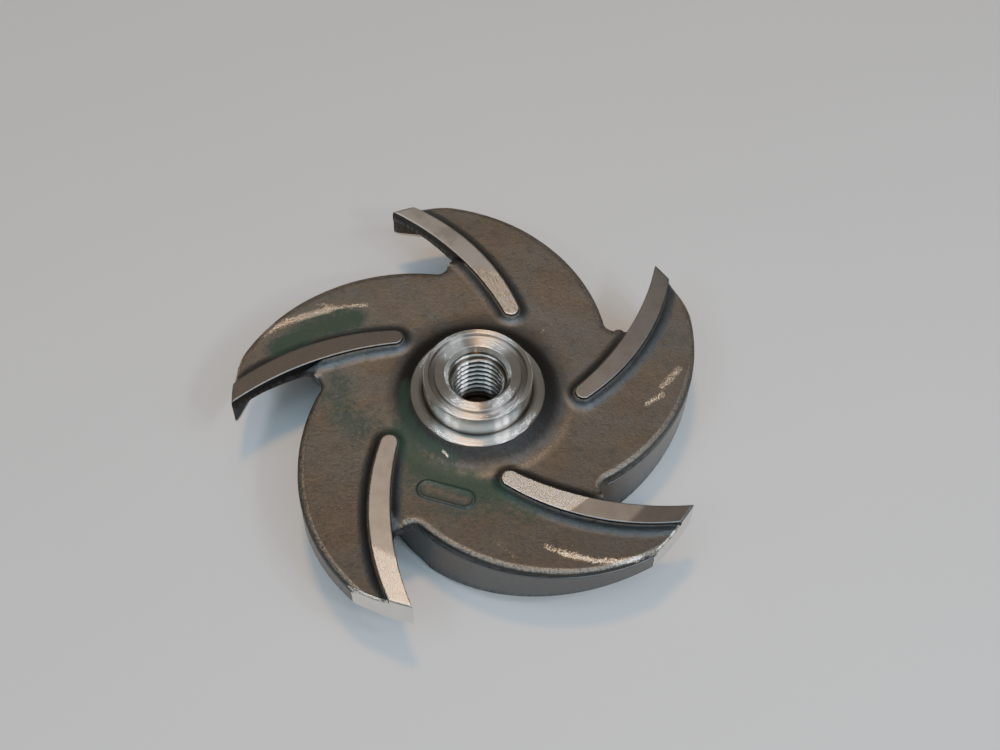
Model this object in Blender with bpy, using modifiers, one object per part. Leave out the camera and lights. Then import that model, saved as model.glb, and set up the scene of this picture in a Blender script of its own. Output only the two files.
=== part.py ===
"""Semi-open pump impeller, one casting: scalloped shroud, five vanes, five ribs and a threaded hub.

The frame stands on the flat end of the front nose: origin at its centre, +Z along the shaft
axis towards the hub. Plan dimensions are in millimetres here and become metres when meshed.
"""

import bmesh
import bpy
import numpy as np

MM = 0.001

PETALS = 5
PITCH = 2.0 * np.pi / PETALS
OUTER_R = 79.375

# heights above the nose's flat end
SHROUD_TOP = 25.5
RIB_TOP = SHROUD_TOP + 2.8
LEDGE_TOP = SHROUD_TOP + 3.3
HUB_TOP = SHROUD_TOP + 11.9

# shroud thickness at a radius: thin rim, then coned towards the eye
SHROUD_THICKNESS = ((70.0, 2.2), (52.0, 4.6), (30.0, 7.0))

# front faces of the vanes: flat at the eye, then swept up to the rim
EYE_FLAT_R = 47.0
RIM_FRONT = 16.3
RIM_STEEPNESS = 0.8

# petal edges in plan: circles traced for the first petal
CONVEX_CENTRE = (9.5, 23.3)
CONVEX_R = 62.8
CONCAVE_CENTRE = (-35.53, 72.74)
CONCAVE_R = 98.17
RIB_OUT_CENTRE = (-13.29, 60.13)
RIB_OUT_R = 79.73
RIB_SEAT = (34.35, -0.25)
RIB_INSET = 0.25
ROOT_POINT = (38.9, -34.0)
ROOT_ALONG = (0.20, -0.98)
ROOT_FILLET_CONVEX = 4.0
ROOT_FILLET_RIB = 2.6

# rough places near which two circles are taken to cross
CONVEX_TIP_NEAR = (70.0, 42.0)
CONCAVE_TIP_NEAR = (61.0, 56.0)
RIB_TIP_NEAR = (66.0, 51.0)
ROOT_RIB_NEAR = (42.0, -38.0)
ROOT_CONVEX_NEAR = (43.0, -34.0)
PAST_RIM_R = 84.0

# working vanes
VANE_INSET = 0.45
VANE_RIM_THICK = 4.0
VANE_SWELL = 1.2
VANE_EYE_THICK = 3.6
VANE_EYE_R = 27.0
VANE_SPIRAL = 0.40
VANE_JOIN_ANGLE = np.radians(-39.0)

# cast front nose
NOSE_R = 13.6
NOSE_FLARE_R = 35.0
NOSE_FLARE_HIGH = 8.0
NOSE_TIP = ((12.8, 7.0), (11.6, 3.2), (9.4, 0.9), (7.2, -0.6))

# turned hub
HUB_R = 17.6
LEDGE_R = 21.8
LEDGE_CHAMFER = 0.5
FOOT_FILLET = 3.0
HUB_CHAMFER = 0.4
GROOVE_IN_R = 13.85
GROOVE_OUT_R = 15.95
GROOVE_DEEP = 1.7

# blind bore
CHAMFER_R = 10.8
CHAMFER_DEEP = 1.6
COUNTER_R = 9.6
COUNTER_DEEP = 4.0
LEAD_IN = 0.8
THREAD_MINOR_R = 8.15
BORE_DEEP = 27.0
DRILL_POINT = 2.5

ROUND_STEPS = 80
SUNK = 1.2


def clear_scene():
    """Empties the file."""
    for thing in list(bpy.data.objects):
        bpy.data.objects.remove(thing, do_unlink=True)


def new_collection(name):
    """Makes a collection linked to the scene."""
    group = bpy.data.collections.new(name)
    bpy.context.scene.collection.children.link(group)
    return group


def unit(angle):
    """Unit vector in plan."""
    return np.array([np.cos(angle), np.sin(angle)])


def arc(centre, radius, start, end, count):
    """Points of a circle from one angle to another, both ends included."""
    turn = np.linspace(start, end, count)
    return np.column_stack([centre[0] + radius * np.cos(turn), centre[1] + radius * np.sin(turn)])


def angle_at(centre, point):
    """Angle of a point as seen from a circle's centre."""
    return np.arctan2(point[1] - centre[1], point[0] - centre[0])


def turned(points, angle):
    """Plan points turned about the shaft axis."""
    c, s = np.cos(angle), np.sin(angle)
    x, y = np.asarray(points, float).T
    return np.column_stack([c * x - s * y, s * x + c * y])


def meet_axis_circle(centre, radius, reach, near):
    """Crossing of a circle with the circle of radius reach about the axis, the one close to near."""
    gap = np.hypot(*centre)
    along = (reach ** 2 - radius ** 2 + gap ** 2) / (2.0 * gap)
    across = np.sqrt(reach ** 2 - along ** 2)
    out = np.array(centre) / gap
    side = np.array([-out[1], out[0]])
    choices = [along * out + across * side, along * out - across * side]
    return min(choices, key=lambda p: np.hypot(*(p - np.array(near))))


def meet_ray(centre, radius, turn):
    """Point where the ray from the axis at an angle leaves a circle."""
    ray = unit(turn)
    b = ray @ np.array(centre)
    reach = b + np.sqrt(b * b - np.dot(centre, centre) + radius ** 2)
    return reach * ray


def fillet_centre(centre, reach, line_point, line_along, offset, near):
    """Point at distance reach from a centre, on the line moved sideways by offset."""
    along = np.array(line_along) / np.hypot(*line_along)
    normal = np.array([-along[1], along[0]])
    base = np.array(line_point) + offset * normal - np.array(centre)
    b = base @ along
    root = np.sqrt(b * b - base @ base + reach ** 2)
    choices = [np.array(centre) + base + (-b + root) * along, np.array(centre) + base + (-b - root) * along]
    return min(choices, key=lambda p: np.hypot(*(p - np.array(near))))


def slot_root():
    """Rounded bottom of the slot before the first petal, from the rib side to the convex side."""
    along = np.array(ROOT_ALONG) / np.hypot(*ROOT_ALONG)
    normal = np.array([-along[1], along[0]])
    concave = turned([CONCAVE_CENTRE], -PITCH)[0]
    rib_side = fillet_centre(concave, CONCAVE_R - ROOT_FILLET_RIB, ROOT_POINT, along,
                             ROOT_FILLET_RIB, ROOT_RIB_NEAR)
    convex_side = fillet_centre(CONVEX_CENTRE, CONVEX_R + ROOT_FILLET_CONVEX, ROOT_POINT, along,
                                ROOT_FILLET_CONVEX, ROOT_CONVEX_NEAR)
    rib_touch = angle_at(concave, rib_side)
    foot = np.arctan2(-normal[1], -normal[0])
    start = foot + (rib_touch - foot + np.pi) % (2.0 * np.pi) - np.pi
    convex_touch = angle_at(convex_side, CONVEX_CENTRE)
    end = foot + (convex_touch - foot + np.pi) % (2.0 * np.pi) - np.pi
    first = arc(rib_side, ROOT_FILLET_RIB, start, foot, 5)
    second = arc(convex_side, ROOT_FILLET_CONVEX, foot, end, 6)
    return np.vstack([first, second]), rib_touch, angle_at(CONVEX_CENTRE, convex_side)


def shroud_outline():
    """Closed outline of the scalloped shroud, carried past the rim for the lathe cut."""
    root, rib_touch, convex_touch = slot_root()
    tip_convex = meet_axis_circle(CONVEX_CENTRE, CONVEX_R, PAST_RIM_R, CONVEX_TIP_NEAR)
    tip_concave = meet_axis_circle(CONCAVE_CENTRE, CONCAVE_R, PAST_RIM_R, CONCAVE_TIP_NEAR)
    convex = arc(CONVEX_CENTRE, CONVEX_R, convex_touch, angle_at(CONVEX_CENTRE, tip_convex), 18)
    concave = arc(CONCAVE_CENTRE, CONCAVE_R, angle_at(CONCAVE_CENTRE, tip_concave), rib_touch + PITCH, 9)
    petal = np.vstack([root[:-1], convex, concave[:-1]])
    return np.vstack([turned(petal, k * PITCH) for k in range(PETALS)])


def rib_outline():
    """Closed outline of the first petal's rib, round at its inner end."""
    inner_r = CONCAVE_R + RIB_INSET
    outer_at, inner_at, seat = np.array(RIB_OUT_CENTRE), np.array(CONCAVE_CENTRE), np.array(RIB_SEAT)
    half = 0.5 * (np.hypot(*(seat - inner_at)) - inner_r + RIB_OUT_R - np.hypot(*(seat - outer_at)))
    outer_end = meet_axis_circle(RIB_OUT_CENTRE, RIB_OUT_R, PAST_RIM_R, RIB_TIP_NEAR)
    inner_end = meet_axis_circle(CONCAVE_CENTRE, inner_r, PAST_RIM_R, CONCAVE_TIP_NEAR)
    outer = arc(outer_at, RIB_OUT_R, angle_at(outer_at, seat), angle_at(outer_at, outer_end), 14)
    inner = arc(inner_at, inner_r, angle_at(inner_at, inner_end), angle_at(inner_at, seat), 14)
    begin = angle_at(seat, inner[-1])
    end = angle_at(seat, outer[0])
    begin = begin - 2.0 * np.pi if begin > end else begin
    nose = arc(seat, half, begin, end, 9)
    return np.vstack([outer[1:], inner[:-1], nose])


def vane_outline():
    """Closed outline of the first petal's vane: rim circle, then a spiral in to the eye."""
    centre = np.array(CONVEX_CENTRE)
    radius = CONVEX_R - VANE_INSET
    tip = meet_axis_circle(CONVEX_CENTRE, radius, PAST_RIM_R, CONVEX_TIP_NEAR)
    join_at = meet_ray(CONVEX_CENTRE, radius, VANE_JOIN_ANGLE)
    outer = arc(centre, radius, angle_at(centre, tip), angle_at(centre, join_at), 18)
    sweep = np.linspace(0.0, -np.log(np.hypot(*join_at) / VANE_EYE_R) / VANE_SPIRAL, 16)[1:]
    spiral_r = np.hypot(*join_at) * np.exp(VANE_SPIRAL * sweep)
    spiral_turn = VANE_JOIN_ANGLE + sweep
    spiral = np.column_stack([spiral_r * np.cos(spiral_turn), spiral_r * np.sin(spiral_turn)])
    face = np.vstack([outer, spiral])
    step = np.gradient(face, axis=0)
    step /= np.hypot(step[:, 0], step[:, 1])[:, None]
    normal = np.column_stack([step[:, 1], -step[:, 0]])
    run = np.concatenate([[0.0], np.cumsum(np.hypot(*np.diff(face, axis=0).T))])
    share = run / run[-1]
    thick = VANE_RIM_THICK + (VANE_EYE_THICK - VANE_RIM_THICK) * share + VANE_SWELL * np.sin(np.pi * share)
    back = face + thick[:, None] * normal
    middle = 0.5 * (face[-1] + back[-1])
    swing = angle_at(middle, face[-1])
    way = -np.pi if unit(swing - 0.5 * np.pi) @ step[-1] > 0.0 else np.pi
    nose = arc(middle, 0.5 * thick[-1], swing, swing + way, 7)[1:-1]
    return np.vstack([face, nose, back[::-1]])


def prism(name, outlines, low, high, group):
    """One mesh of upright prisms, each from a closed plan outline."""
    mesh = bmesh.new()
    for outline in outlines:
        x, y = outline.T
        area = 0.5 * np.sum(x * np.roll(y, -1) - y * np.roll(x, -1))
        loop = outline if area > 0.0 else outline[::-1]
        lower = [mesh.verts.new((p[0] * MM, p[1] * MM, low * MM)) for p in loop]
        upper = [mesh.verts.new((p[0] * MM, p[1] * MM, high * MM)) for p in loop]
        mesh.faces.new(upper)
        mesh.faces.new(lower[::-1])
        for i in range(len(loop)):
            j = (i + 1) % len(loop)
            mesh.faces.new((lower[i], lower[j], upper[j], upper[i]))
    data = bpy.data.meshes.new(name)
    mesh.to_mesh(data)
    mesh.free()
    solid = bpy.data.objects.new(name, data)
    group.objects.link(solid)
    return solid


def lathe(name, profile, group):
    """Turned solid from a profile of (radius, height) pairs that starts and ends on the axis."""
    data = bpy.data.meshes.new(name)
    points = [(r * MM, 0.0, z * MM) for r, z in profile]
    edges = [(i, i + 1) for i in range(len(points) - 1)]
    data.from_pydata(points, edges, [])
    solid = bpy.data.objects.new(name, data)
    group.objects.link(solid)
    screw = solid.modifiers.new("turn", "SCREW")
    screw.axis = "Z"
    screw.angle = 2.0 * np.pi
    screw.steps = ROUND_STEPS
    screw.render_steps = ROUND_STEPS
    screw.use_merge_vertices = True
    screw.merge_threshold = 0.00001
    screw.use_smooth_shade = False
    return solid


def combine(solid, other, operation):
    """Adds an exact Boolean to a solid."""
    cut = solid.modifiers.new(other.name, "BOOLEAN")
    cut.operation = operation
    cut.solver = "EXACT"
    cut.object = other


def shroud_profile():
    """Turned blank of the shroud: open above the top face, coned underneath."""
    under = [(r, SHROUD_TOP - thick) for r, thick in SHROUD_THICKNESS]
    rim = (PAST_RIM_R + 1.0, under[0][1])
    return [(0.0, SHROUD_TOP + 1.0), (PAST_RIM_R + 1.0, SHROUD_TOP + 1.0), rim] + under + [(0.0, under[-1][1])]


def front_profile():
    """Envelope of the lathe work: flat at the eye, swept front, straight rim, flat rib tops."""
    share = np.linspace(0.0, 1.0, 12)
    rise = 3.0 * share ** 2 - 2.0 * share ** 3 + RIM_STEEPNESS * (share ** 3 - share ** 2)
    r = EYE_FLAT_R + (OUTER_R - EYE_FLAT_R) * share
    curve = list(zip(r[::-1], RIM_FRONT * rise[::-1]))
    return [(0.0, RIB_TOP), (OUTER_R, RIB_TOP)] + curve + [(0.0, 0.0)]


def nose_profile():
    """Cast front nose that flares into the underside of the shroud."""
    flare_top = SHROUD_TOP - SHROUD_THICKNESS[-1][1] + 0.8
    flare = np.linspace(1.0, 0.0, 9)
    r = NOSE_R + (NOSE_FLARE_R - NOSE_R) * flare ** 1.6
    z = flare_top - NOSE_FLARE_HIGH * (1.0 - flare) ** 2.2
    start = [(0.0, SHROUD_TOP - SUNK), (NOSE_FLARE_R, SHROUD_TOP - SUNK)]
    return start + list(zip(r, z)) + list(NOSE_TIP) + [(0.0, NOSE_TIP[-1][1])]


def hub_profile():
    """Turned hub above the shroud, with the face groove, the ledge and the cast foot fillet."""
    foot_turn = np.linspace(np.pi, 1.5 * np.pi, 6)
    foot_at = (LEDGE_R + FOOT_FILLET, SHROUD_TOP + FOOT_FILLET - 0.1)
    foot = [(foot_at[0] + FOOT_FILLET * np.cos(t), foot_at[1] + FOOT_FILLET * np.sin(t)) for t in foot_turn]
    return [
        (0.0, HUB_TOP),
        (GROOVE_IN_R, HUB_TOP),
        (GROOVE_IN_R, HUB_TOP - GROOVE_DEEP),
        (GROOVE_OUT_R, HUB_TOP - GROOVE_DEEP),
        (GROOVE_OUT_R, HUB_TOP),
        (HUB_R - HUB_CHAMFER, HUB_TOP),
        (HUB_R, HUB_TOP - HUB_CHAMFER),
        (HUB_R, LEDGE_TOP),
        (LEDGE_R - LEDGE_CHAMFER, LEDGE_TOP),
    ] + foot + [
        (LEDGE_R + FOOT_FILLET, SHROUD_TOP - SUNK),
        (0.0, SHROUD_TOP - SUNK),
    ]


def bore_profile():
    """Cutter for the blind bore: chamfer, counterbore, thread core and drill point."""
    return [
        (0.0, HUB_TOP + 1.0),
        (CHAMFER_R + 1.0, HUB_TOP + 1.0),
        (CHAMFER_R, HUB_TOP),
        (COUNTER_R, HUB_TOP - CHAMFER_DEEP),
        (COUNTER_R, HUB_TOP - COUNTER_DEEP + LEAD_IN),
        (THREAD_MINOR_R, HUB_TOP - COUNTER_DEEP),
        (THREAD_MINOR_R, HUB_TOP - BORE_DEEP),
        (0.0, HUB_TOP - BORE_DEEP - DRILL_POINT),
    ]


def casting_metal():
    """Stainless casting, machined at the hub and the rib tops."""
    metal = bpy.data.materials.new("cast_stainless")
    metal.use_nodes = True
    shader = metal.node_tree.nodes["Principled BSDF"]
    shader.inputs["Base Color"].default_value = (0.42, 0.39, 0.35, 1.0)
    shader.inputs["Metallic"].default_value = 1.0
    shader.inputs["Roughness"].default_value = 0.5
    return metal


def build():
    """Builds the impeller from its blanks and cutters."""
    clear_scene()
    parts = new_collection("pump_impeller")
    tools = new_collection("cutters")
    vane = vane_outline()
    rib = rib_outline()
    deepest = max(thick for _, thick in SHROUD_THICKNESS)
    impeller = prism("impeller", [shroud_outline()], SHROUD_TOP - deepest - SUNK, SHROUD_TOP, parts)
    shroud = lathe("shroud_blank", shroud_profile(), tools)
    nose = lathe("nose_blank", nose_profile(), tools)
    vanes = prism("vane_blanks", [turned(vane, k * PITCH) for k in range(PETALS)], -2.0,
                  SHROUD_TOP - SUNK, tools)
    ribs = prism("rib_blanks", [turned(rib, k * PITCH) for k in range(PETALS)], SHROUD_TOP - SUNK,
                 RIB_TOP + 2.0, tools)
    envelope = lathe("lathe_envelope", front_profile(), tools)
    hub = lathe("hub_blank", hub_profile(), tools)
    bore = lathe("bore_cutter", bore_profile(), tools)
    combine(impeller, shroud, "INTERSECT")
    combine(impeller, nose, "UNION")
    combine(impeller, vanes, "UNION")
    combine(impeller, ribs, "UNION")
    combine(impeller, envelope, "INTERSECT")
    combine(impeller, hub, "UNION")
    combine(impeller, bore, "DIFFERENCE")
    impeller.data.materials.append(casting_metal())
    for tool in tools.objects:
        tool.hide_render = True
        tool.display_type = "WIRE"


build()
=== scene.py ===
"""Cast stainless pump impeller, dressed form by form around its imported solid.

Sizes are millimetres in the row frame: origin on the flat end of the front nose, +Z along the
shaft axis towards the hub. Meshes are written in metres. The first petal is the one whose rib
starts on the +X side; the others are the same shapes turned by a fifth of a circle each.
"""

import logging
import math
from dataclasses import dataclass, field
from enum import Enum

import bmesh
import bpy
import numpy as np
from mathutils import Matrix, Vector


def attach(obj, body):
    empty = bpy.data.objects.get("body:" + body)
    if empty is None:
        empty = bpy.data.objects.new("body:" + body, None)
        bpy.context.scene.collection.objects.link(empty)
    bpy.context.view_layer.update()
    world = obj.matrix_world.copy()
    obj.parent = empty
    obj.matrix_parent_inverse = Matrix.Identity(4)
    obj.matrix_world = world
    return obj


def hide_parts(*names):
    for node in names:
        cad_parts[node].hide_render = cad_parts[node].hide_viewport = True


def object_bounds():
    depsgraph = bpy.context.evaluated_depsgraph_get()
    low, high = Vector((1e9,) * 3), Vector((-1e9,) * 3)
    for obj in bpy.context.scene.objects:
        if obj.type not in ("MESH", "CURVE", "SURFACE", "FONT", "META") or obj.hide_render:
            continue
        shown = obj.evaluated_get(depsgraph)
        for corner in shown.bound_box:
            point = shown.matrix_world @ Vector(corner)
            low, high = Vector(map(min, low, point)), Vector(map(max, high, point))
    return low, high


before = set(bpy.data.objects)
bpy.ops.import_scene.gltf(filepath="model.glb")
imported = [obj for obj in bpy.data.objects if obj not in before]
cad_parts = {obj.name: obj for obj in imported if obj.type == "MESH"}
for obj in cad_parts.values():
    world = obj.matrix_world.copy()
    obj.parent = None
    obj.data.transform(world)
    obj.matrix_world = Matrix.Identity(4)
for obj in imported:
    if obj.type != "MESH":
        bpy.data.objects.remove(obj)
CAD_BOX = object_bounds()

Array = np.ndarray
Point = tuple[float, float]
Triple = tuple[float, float, float]
Colour = tuple[float, float, float, float]
Marks = tuple[tuple[list[Point], float, float], ...]

LOG = logging.getLogger("impeller")
NODE = "impeller"
MM = 0.001
PETALS = 5
TURN = 2.0 * math.pi
PITCH = TURN / PETALS


class Finish(Enum):
    """Finishes of the casting, in the order of the material slots on every piece."""

    CAST = 0
    MILLED = 1
    TURNED = 2


# The walls round a petal's grid: its convex edge, its concave edge and the turned rim.
SIDES = ((np.s_[:, 0], Finish.CAST), (np.s_[:, -1], Finish.CAST), (np.s_[-1, :], Finish.TURNED))


@dataclass(frozen=True)
class Circle:
    """A circle in plan.

    Attributes:
        x: Centre, along X.
        y: Centre, along Y.
        radius: Radius.
    """

    x: float
    y: float
    radius: float

    def at(self, bearing: Array, grow: Array | float = 0.0) -> Array:
        """Points of the circle, centre plus grown radius times the unit vector of the bearing.

        Args:
            bearing: Angles seen from the centre.
            grow: What is added to the radius.

        Returns:
            Plan points, with X and Y on the last axis.
        """
        reach = self.radius + grow
        return np.stack([self.x + reach * np.cos(bearing), self.y + reach * np.sin(bearing)], -1)

    def bearing(self, point: Array) -> Array:
        """Angle of plan points seen from the centre."""
        point = np.asarray(point, float)
        return np.arctan2(point[..., 1] - self.y, point[..., 0] - self.x)

    def away(self, point: Array) -> Array:
        """Distance of plan points from the centre."""
        point = np.asarray(point, float)
        return np.hypot(point[..., 0] - self.x, point[..., 1] - self.y)

    def rim_bearing(self, reach: float, grow: Array | float = 0.0) -> Array:
        """Bearing at which the grown circle meets a circle about the shaft axis.

        By the law of cosines on the axis, the centre and the meeting point.

        Args:
            reach: Radius of the circle about the shaft axis.
            grow: What is added to this circle's radius.

        Returns:
            The bearing of the meeting point on the outer side.
        """
        own = self.radius + grow
        gap = math.hypot(self.x, self.y)
        share = (reach ** 2 - gap ** 2 - own ** 2) / (2.0 * own * gap)
        return math.atan2(self.y, self.x) - np.arccos(share)

    def turned(self, angle: float) -> "Circle":
        """The same circle turned about the shaft axis."""
        c, s = math.cos(angle), math.sin(angle)
        return Circle(c * self.x - s * self.y, s * self.x + c * self.y, self.radius)


@dataclass(frozen=True)
class Levels:
    """Heights of the casting, measured down from the hub's end, which the frame gives.

    Attributes:
        hub: Hub's end face.
        hub_stands: Hub above the shroud's back.
        ledge_stands: Ledge above the shroud's back.
        rib_stands: Rib tops above the shroud's back.
        rim_front: Height of the vanes' front edge at the rim.
        eye_flat: Radius inside which the vanes' front edges are flat.
        steepness: Share of the front sweep's rise that is moved outwards.
        shroud_r: Radii at which the shroud's thickness is given.
        shroud_thick: Thickness of the shroud at those radii.
        rim_cones: Cones turned on the rim's upper edge: height lost, distance of the inner
            border from the rim, and width.
    """

    hub: float
    hub_stands: float = 11.9
    ledge_stands: float = 3.3
    rib_stands: float = 2.8
    rim_front: float = 16.3
    eye_flat: float = 47.0
    steepness: float = 0.8
    shroud_r: tuple[float, ...] = (30.0, 52.0, 70.0, 80.0)
    shroud_thick: tuple[float, ...] = (7.0, 4.6, 2.25, 2.2)
    rim_cones: tuple[Triple, ...] = ((0.09, 0.75, 0.45), (0.42, 0.3, 0.3))

    @property
    def shroud(self) -> float:
        """Height of the shroud's back."""
        return self.hub - self.hub_stands

    @property
    def ledge(self) -> float:
        """Height of the ledge."""
        return self.shroud + self.ledge_stands

    @property
    def rib(self) -> float:
        """Height of the rib tops."""
        return self.shroud + self.rib_stands

    def thickness(self, r: Array) -> Array:
        """Shroud thickness: even at the rim, then growing along two cones towards the eye."""
        return np.interp(r, self.shroud_r, self.shroud_thick)

    def rim_bevel(self, r: Array, rim: float) -> Array:
        """Height lost at the turned rim: a shallow cone and a narrow steep one outside it."""
        return sum(high * np.clip((inner - (rim - r)) / width, 0.0, 1.0) for high, inner, width in self.rim_cones)

    def front(self, r: Array, rim: float) -> Array:
        """Height of the vanes' front edge: a smooth step from the eye's flat up to the rim."""
        s = np.clip((r - self.eye_flat) / (rim - self.eye_flat), 0.0, 1.0)
        return self.rim_front * (3.0 * s ** 2 - 2.0 * s ** 3 + self.steepness * (s ** 3 - s ** 2))


@dataclass(frozen=True)
class Plan:
    """Cast outline of the first petal seen along the shaft axis.

    Attributes:
        rim: Radius of the turned rim.
        convex: Circle of the petal's convex edge.
        concave: Circle of the concave edge and of the rib wall above it.
        rib_outer: Circle of the rib's other wall.
        rib_seat: Centre of the rib's round inner end.
        root_point: A point on the straight bottom of the slot before the petal.
        root_along: Direction of that bottom.
        root_convex: Fillet between the bottom and the convex edge.
        root_concave: Fillet between the bottom and the last petal's concave edge.
        past: How far the slot's edges are carried past the rim.
        band: Distances from the rim between which the turned band begins.
    """

    rim: float
    convex: Circle = Circle(9.5, 23.3, 62.8)
    concave: Circle = Circle(-35.53, 72.74, 98.17)
    rib_outer: Circle = Circle(-13.29, 60.13, 79.73)
    rib_seat: Point = (34.35, -0.25)
    root_point: Point = (38.9, -34.0)
    root_along: Point = (0.20, -0.98)
    root_convex: float = 4.0
    root_concave: float = 2.6
    past: float = 3.0
    band: Point = (0.85, 0.7)

    def rim_band(self, points: Array) -> Array:
        """How far points lie in the turned band at the rim: a cubic step of the radius."""
        r = np.hypot(points[..., 0], points[..., 1])
        return smooth_step(r, self.rim - self.band[0], self.rim - self.band[1])

    def _bottom(self) -> Array:
        """Unit vector along the slot's bottom."""
        return np.array(self.root_along) / math.hypot(*self.root_along)

    def _fillet(self, circle: Circle, reach: float, offset: float) -> Array:
        """Centre of a fillet between a circle and the slot's bottom line.

        It lies at distance reach from the circle's centre, on the bottom line moved sideways.

        Args:
            circle: The circle that the fillet touches.
            reach: Distance between the two centres.
            offset: Fillet radius.

        Returns:
            Plan point.
        """
        along = self._bottom()
        side = np.array([-along[1], along[0]])
        centre = np.array([circle.x, circle.y])
        base = np.array(self.root_point) + offset * side - centre
        b = base @ along
        root = math.sqrt(b * b - base @ base + reach ** 2)
        both = [base + (-b + sign * root) * along + centre for sign in (1.0, -1.0)]
        return min(both, key=lambda point: math.hypot(*(point - np.array(self.root_point))))

    def slot_edges(self) -> tuple[Array, Array]:
        """Cast edge of the slot before the petal, split at its point nearest the shaft axis.

        Fillet arc, then convex circle; and fillet arc, bottom line, second fillet arc, then the
        last petal's concave circle. Both are carried past the rim.

        Returns:
            The convex and the concave branch, plan points by rising radius.
        """
        along = self._bottom()
        last = self.concave.turned(-PITCH)
        near = self._fillet(self.convex, self.convex.radius + self.root_convex, self.root_convex)
        far = self._fillet(last, last.radius - self.root_concave, self.root_concave)
        near_arc = Circle(near[0], near[1], self.root_convex)
        far_arc = Circle(far[0], far[1], self.root_concave)
        split = near_arc.bearing(np.zeros(2))
        end = near_arc.bearing([self.convex.x, self.convex.y])
        back = math.atan2(-along[0], along[1]) % TURN
        leave = float(self.convex.bearing(near))
        touch = float(last.bearing(far))
        turn = (touch - back + math.pi) % TURN - math.pi
        reach = self.rim + self.past
        convex = np.vstack([
            near_arc.at(np.linspace(split, end, 90)),
            self.convex.at(np.linspace(leave, self.convex.rim_bearing(reach), 900))[1:],
        ])
        concave = np.vstack([
            near_arc.at(np.linspace(split, back, 90)),
            far_arc.at(np.linspace(back, back + turn, 60)),
            last.at(np.linspace(touch, last.rim_bearing(reach), 600))[1:],
        ])
        return convex, concave

    def rib_wall(self, inset: Array | float, share: Array) -> Array:
        """Wall of the rib: outer circle from the rim in, round end, concave circle out again.

        Each stretch is an arc, and an inset moves it towards the rib's middle line.

        Args:
            inset: Distance inside the wall at the foot, one value for each row.
            share: Places along each side, from 0 at the rim to 1 at the round end.

        Returns:
            Plan points, rows by inset and columns along the wall.
        """
        inset = np.atleast_1d(np.asarray(inset, float))[:, None]
        share = share[None, :]
        seat = np.array(self.rib_seat)
        outer_end = float(self.rib_outer.bearing(seat))
        inner_end = float(self.concave.bearing(seat))
        half = 0.5 * (self.concave.away(seat) - self.concave.radius + self.rib_outer.radius
                      - self.rib_outer.away(seat))
        start = self.rib_outer.rim_bearing(self.rim, -inset)
        outer = self.rib_outer.at(start + (outer_end - start) * share, -inset)
        leave = self.concave.rim_bearing(self.rim, inset)
        inner = self.concave.at(leave + (inner_end - leave) * share[:, ::-1], inset)
        end = Circle(seat[0], seat[1], float(half))
        turn = np.linspace(outer_end, inner_end - math.pi, 30)[None, 1:-1]
        return np.concatenate([outer, end.at(turn, -inset), inner], 1)


def turned(points: Array, angle: float) -> Array:
    """Points turned about the shaft axis; a third coordinate stays."""
    c, s = math.cos(angle), math.sin(angle)
    x, y = points[..., 0], points[..., 1]
    plan = np.stack([c * x - s * y, s * x + c * y], -1)
    return np.concatenate([plan, points[..., 2:]], -1)


def polar(r: Array, angle: Array, z: Array) -> Array:
    """Points from radius, angle about the shaft axis and height."""
    r, angle, z = np.broadcast_arrays(r, angle, z)
    return np.stack([r * np.cos(angle), r * np.sin(angle), z], -1)


def smooth_step(value: Array, low: float, high: float) -> Array:
    """Cubic step from 0 at low to 1 at high."""
    share = np.clip((value - low) / (high - low), 0.0, 1.0)
    return share * share * (3.0 - 2.0 * share)


def quarter_round(distance: Array, radius: Array | float) -> Array:
    """Height lost beside an edge: radius minus the leg of a right triangle in a quarter circle."""
    inside = np.clip(radius - distance, 0.0, radius)
    return radius - np.sqrt(np.maximum(radius ** 2 - inside ** 2, 0.0))


def held(profile: Array, gap: float = 0.05) -> Array:
    """Profile with an extra point close to both ends of each long stretch, so flats shade flat.

    Args:
        profile: Rows of points.
        gap: Distance of the extra points from the corners.

    Returns:
        The profile with the extra rows.
    """
    start, step = profile[:-1], np.diff(profile, axis=0)
    size = np.linalg.norm(step, axis=1, keepdims=True)
    share = np.where(size > 6.0 * gap, gap / np.maximum(size, 1e-9), 1.0 / 3.0)
    rows = np.stack([start, start + step * share, start + step * (1.0 - share)], 1)
    return np.vstack([rows.reshape(-1, profile.shape[1]), profile[-1:]])


def quads(rows: int, columns: int, start: int = 0) -> Array:
    """Corner numbers of the faces of a grid.

    Args:
        rows: Rows of points.
        columns: Columns of points.
        start: Number of the first point.

    Returns:
        Faces by four.
    """
    index = np.arange(rows * columns).reshape(rows, columns) + start
    return np.stack([index[:-1, :-1], index[:-1, 1:], index[1:, 1:], index[1:, :-1]], -1).reshape(-1, 4)


def nearest(points: Array, line: Array) -> Array:
    """Distance from each plan point to the nearest point of a finely drawn line.

    The points are taken about 2000 at a time, which keeps the table of distances small.

    Args:
        points: Plan points, any shape, coordinates on the last axis.
        line: Plan points of the line.

    Returns:
        Distances, in the shape of the points.
    """
    flat = points[..., :2].reshape(-1, 2)
    parts = np.array_split(flat, max(1, len(flat) // 2000))
    found = [np.sqrt(((part[:, None] - line[None]) ** 2).sum(-1).min(1)) for part in parts]
    return np.concatenate(found).reshape(points.shape[:-1])


def stroke(points: Array, route: list[Point], width: float) -> Array:
    """How strongly plan points lie in a stroke: a bell curve of the distance to its route.

    Args:
        points: Plan points.
        route: Corners of the route.
        width: Distance at which the bell has fallen to about a third.

    Returns:
        Values from 0 to 1.
    """
    corner = np.array(route, float)
    steps = [np.linspace(a, b, 24) for a, b in zip(corner[:-1], corner[1:])]
    away = nearest(points, np.vstack(steps))
    return np.exp(-((away / width) ** 2))


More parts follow.
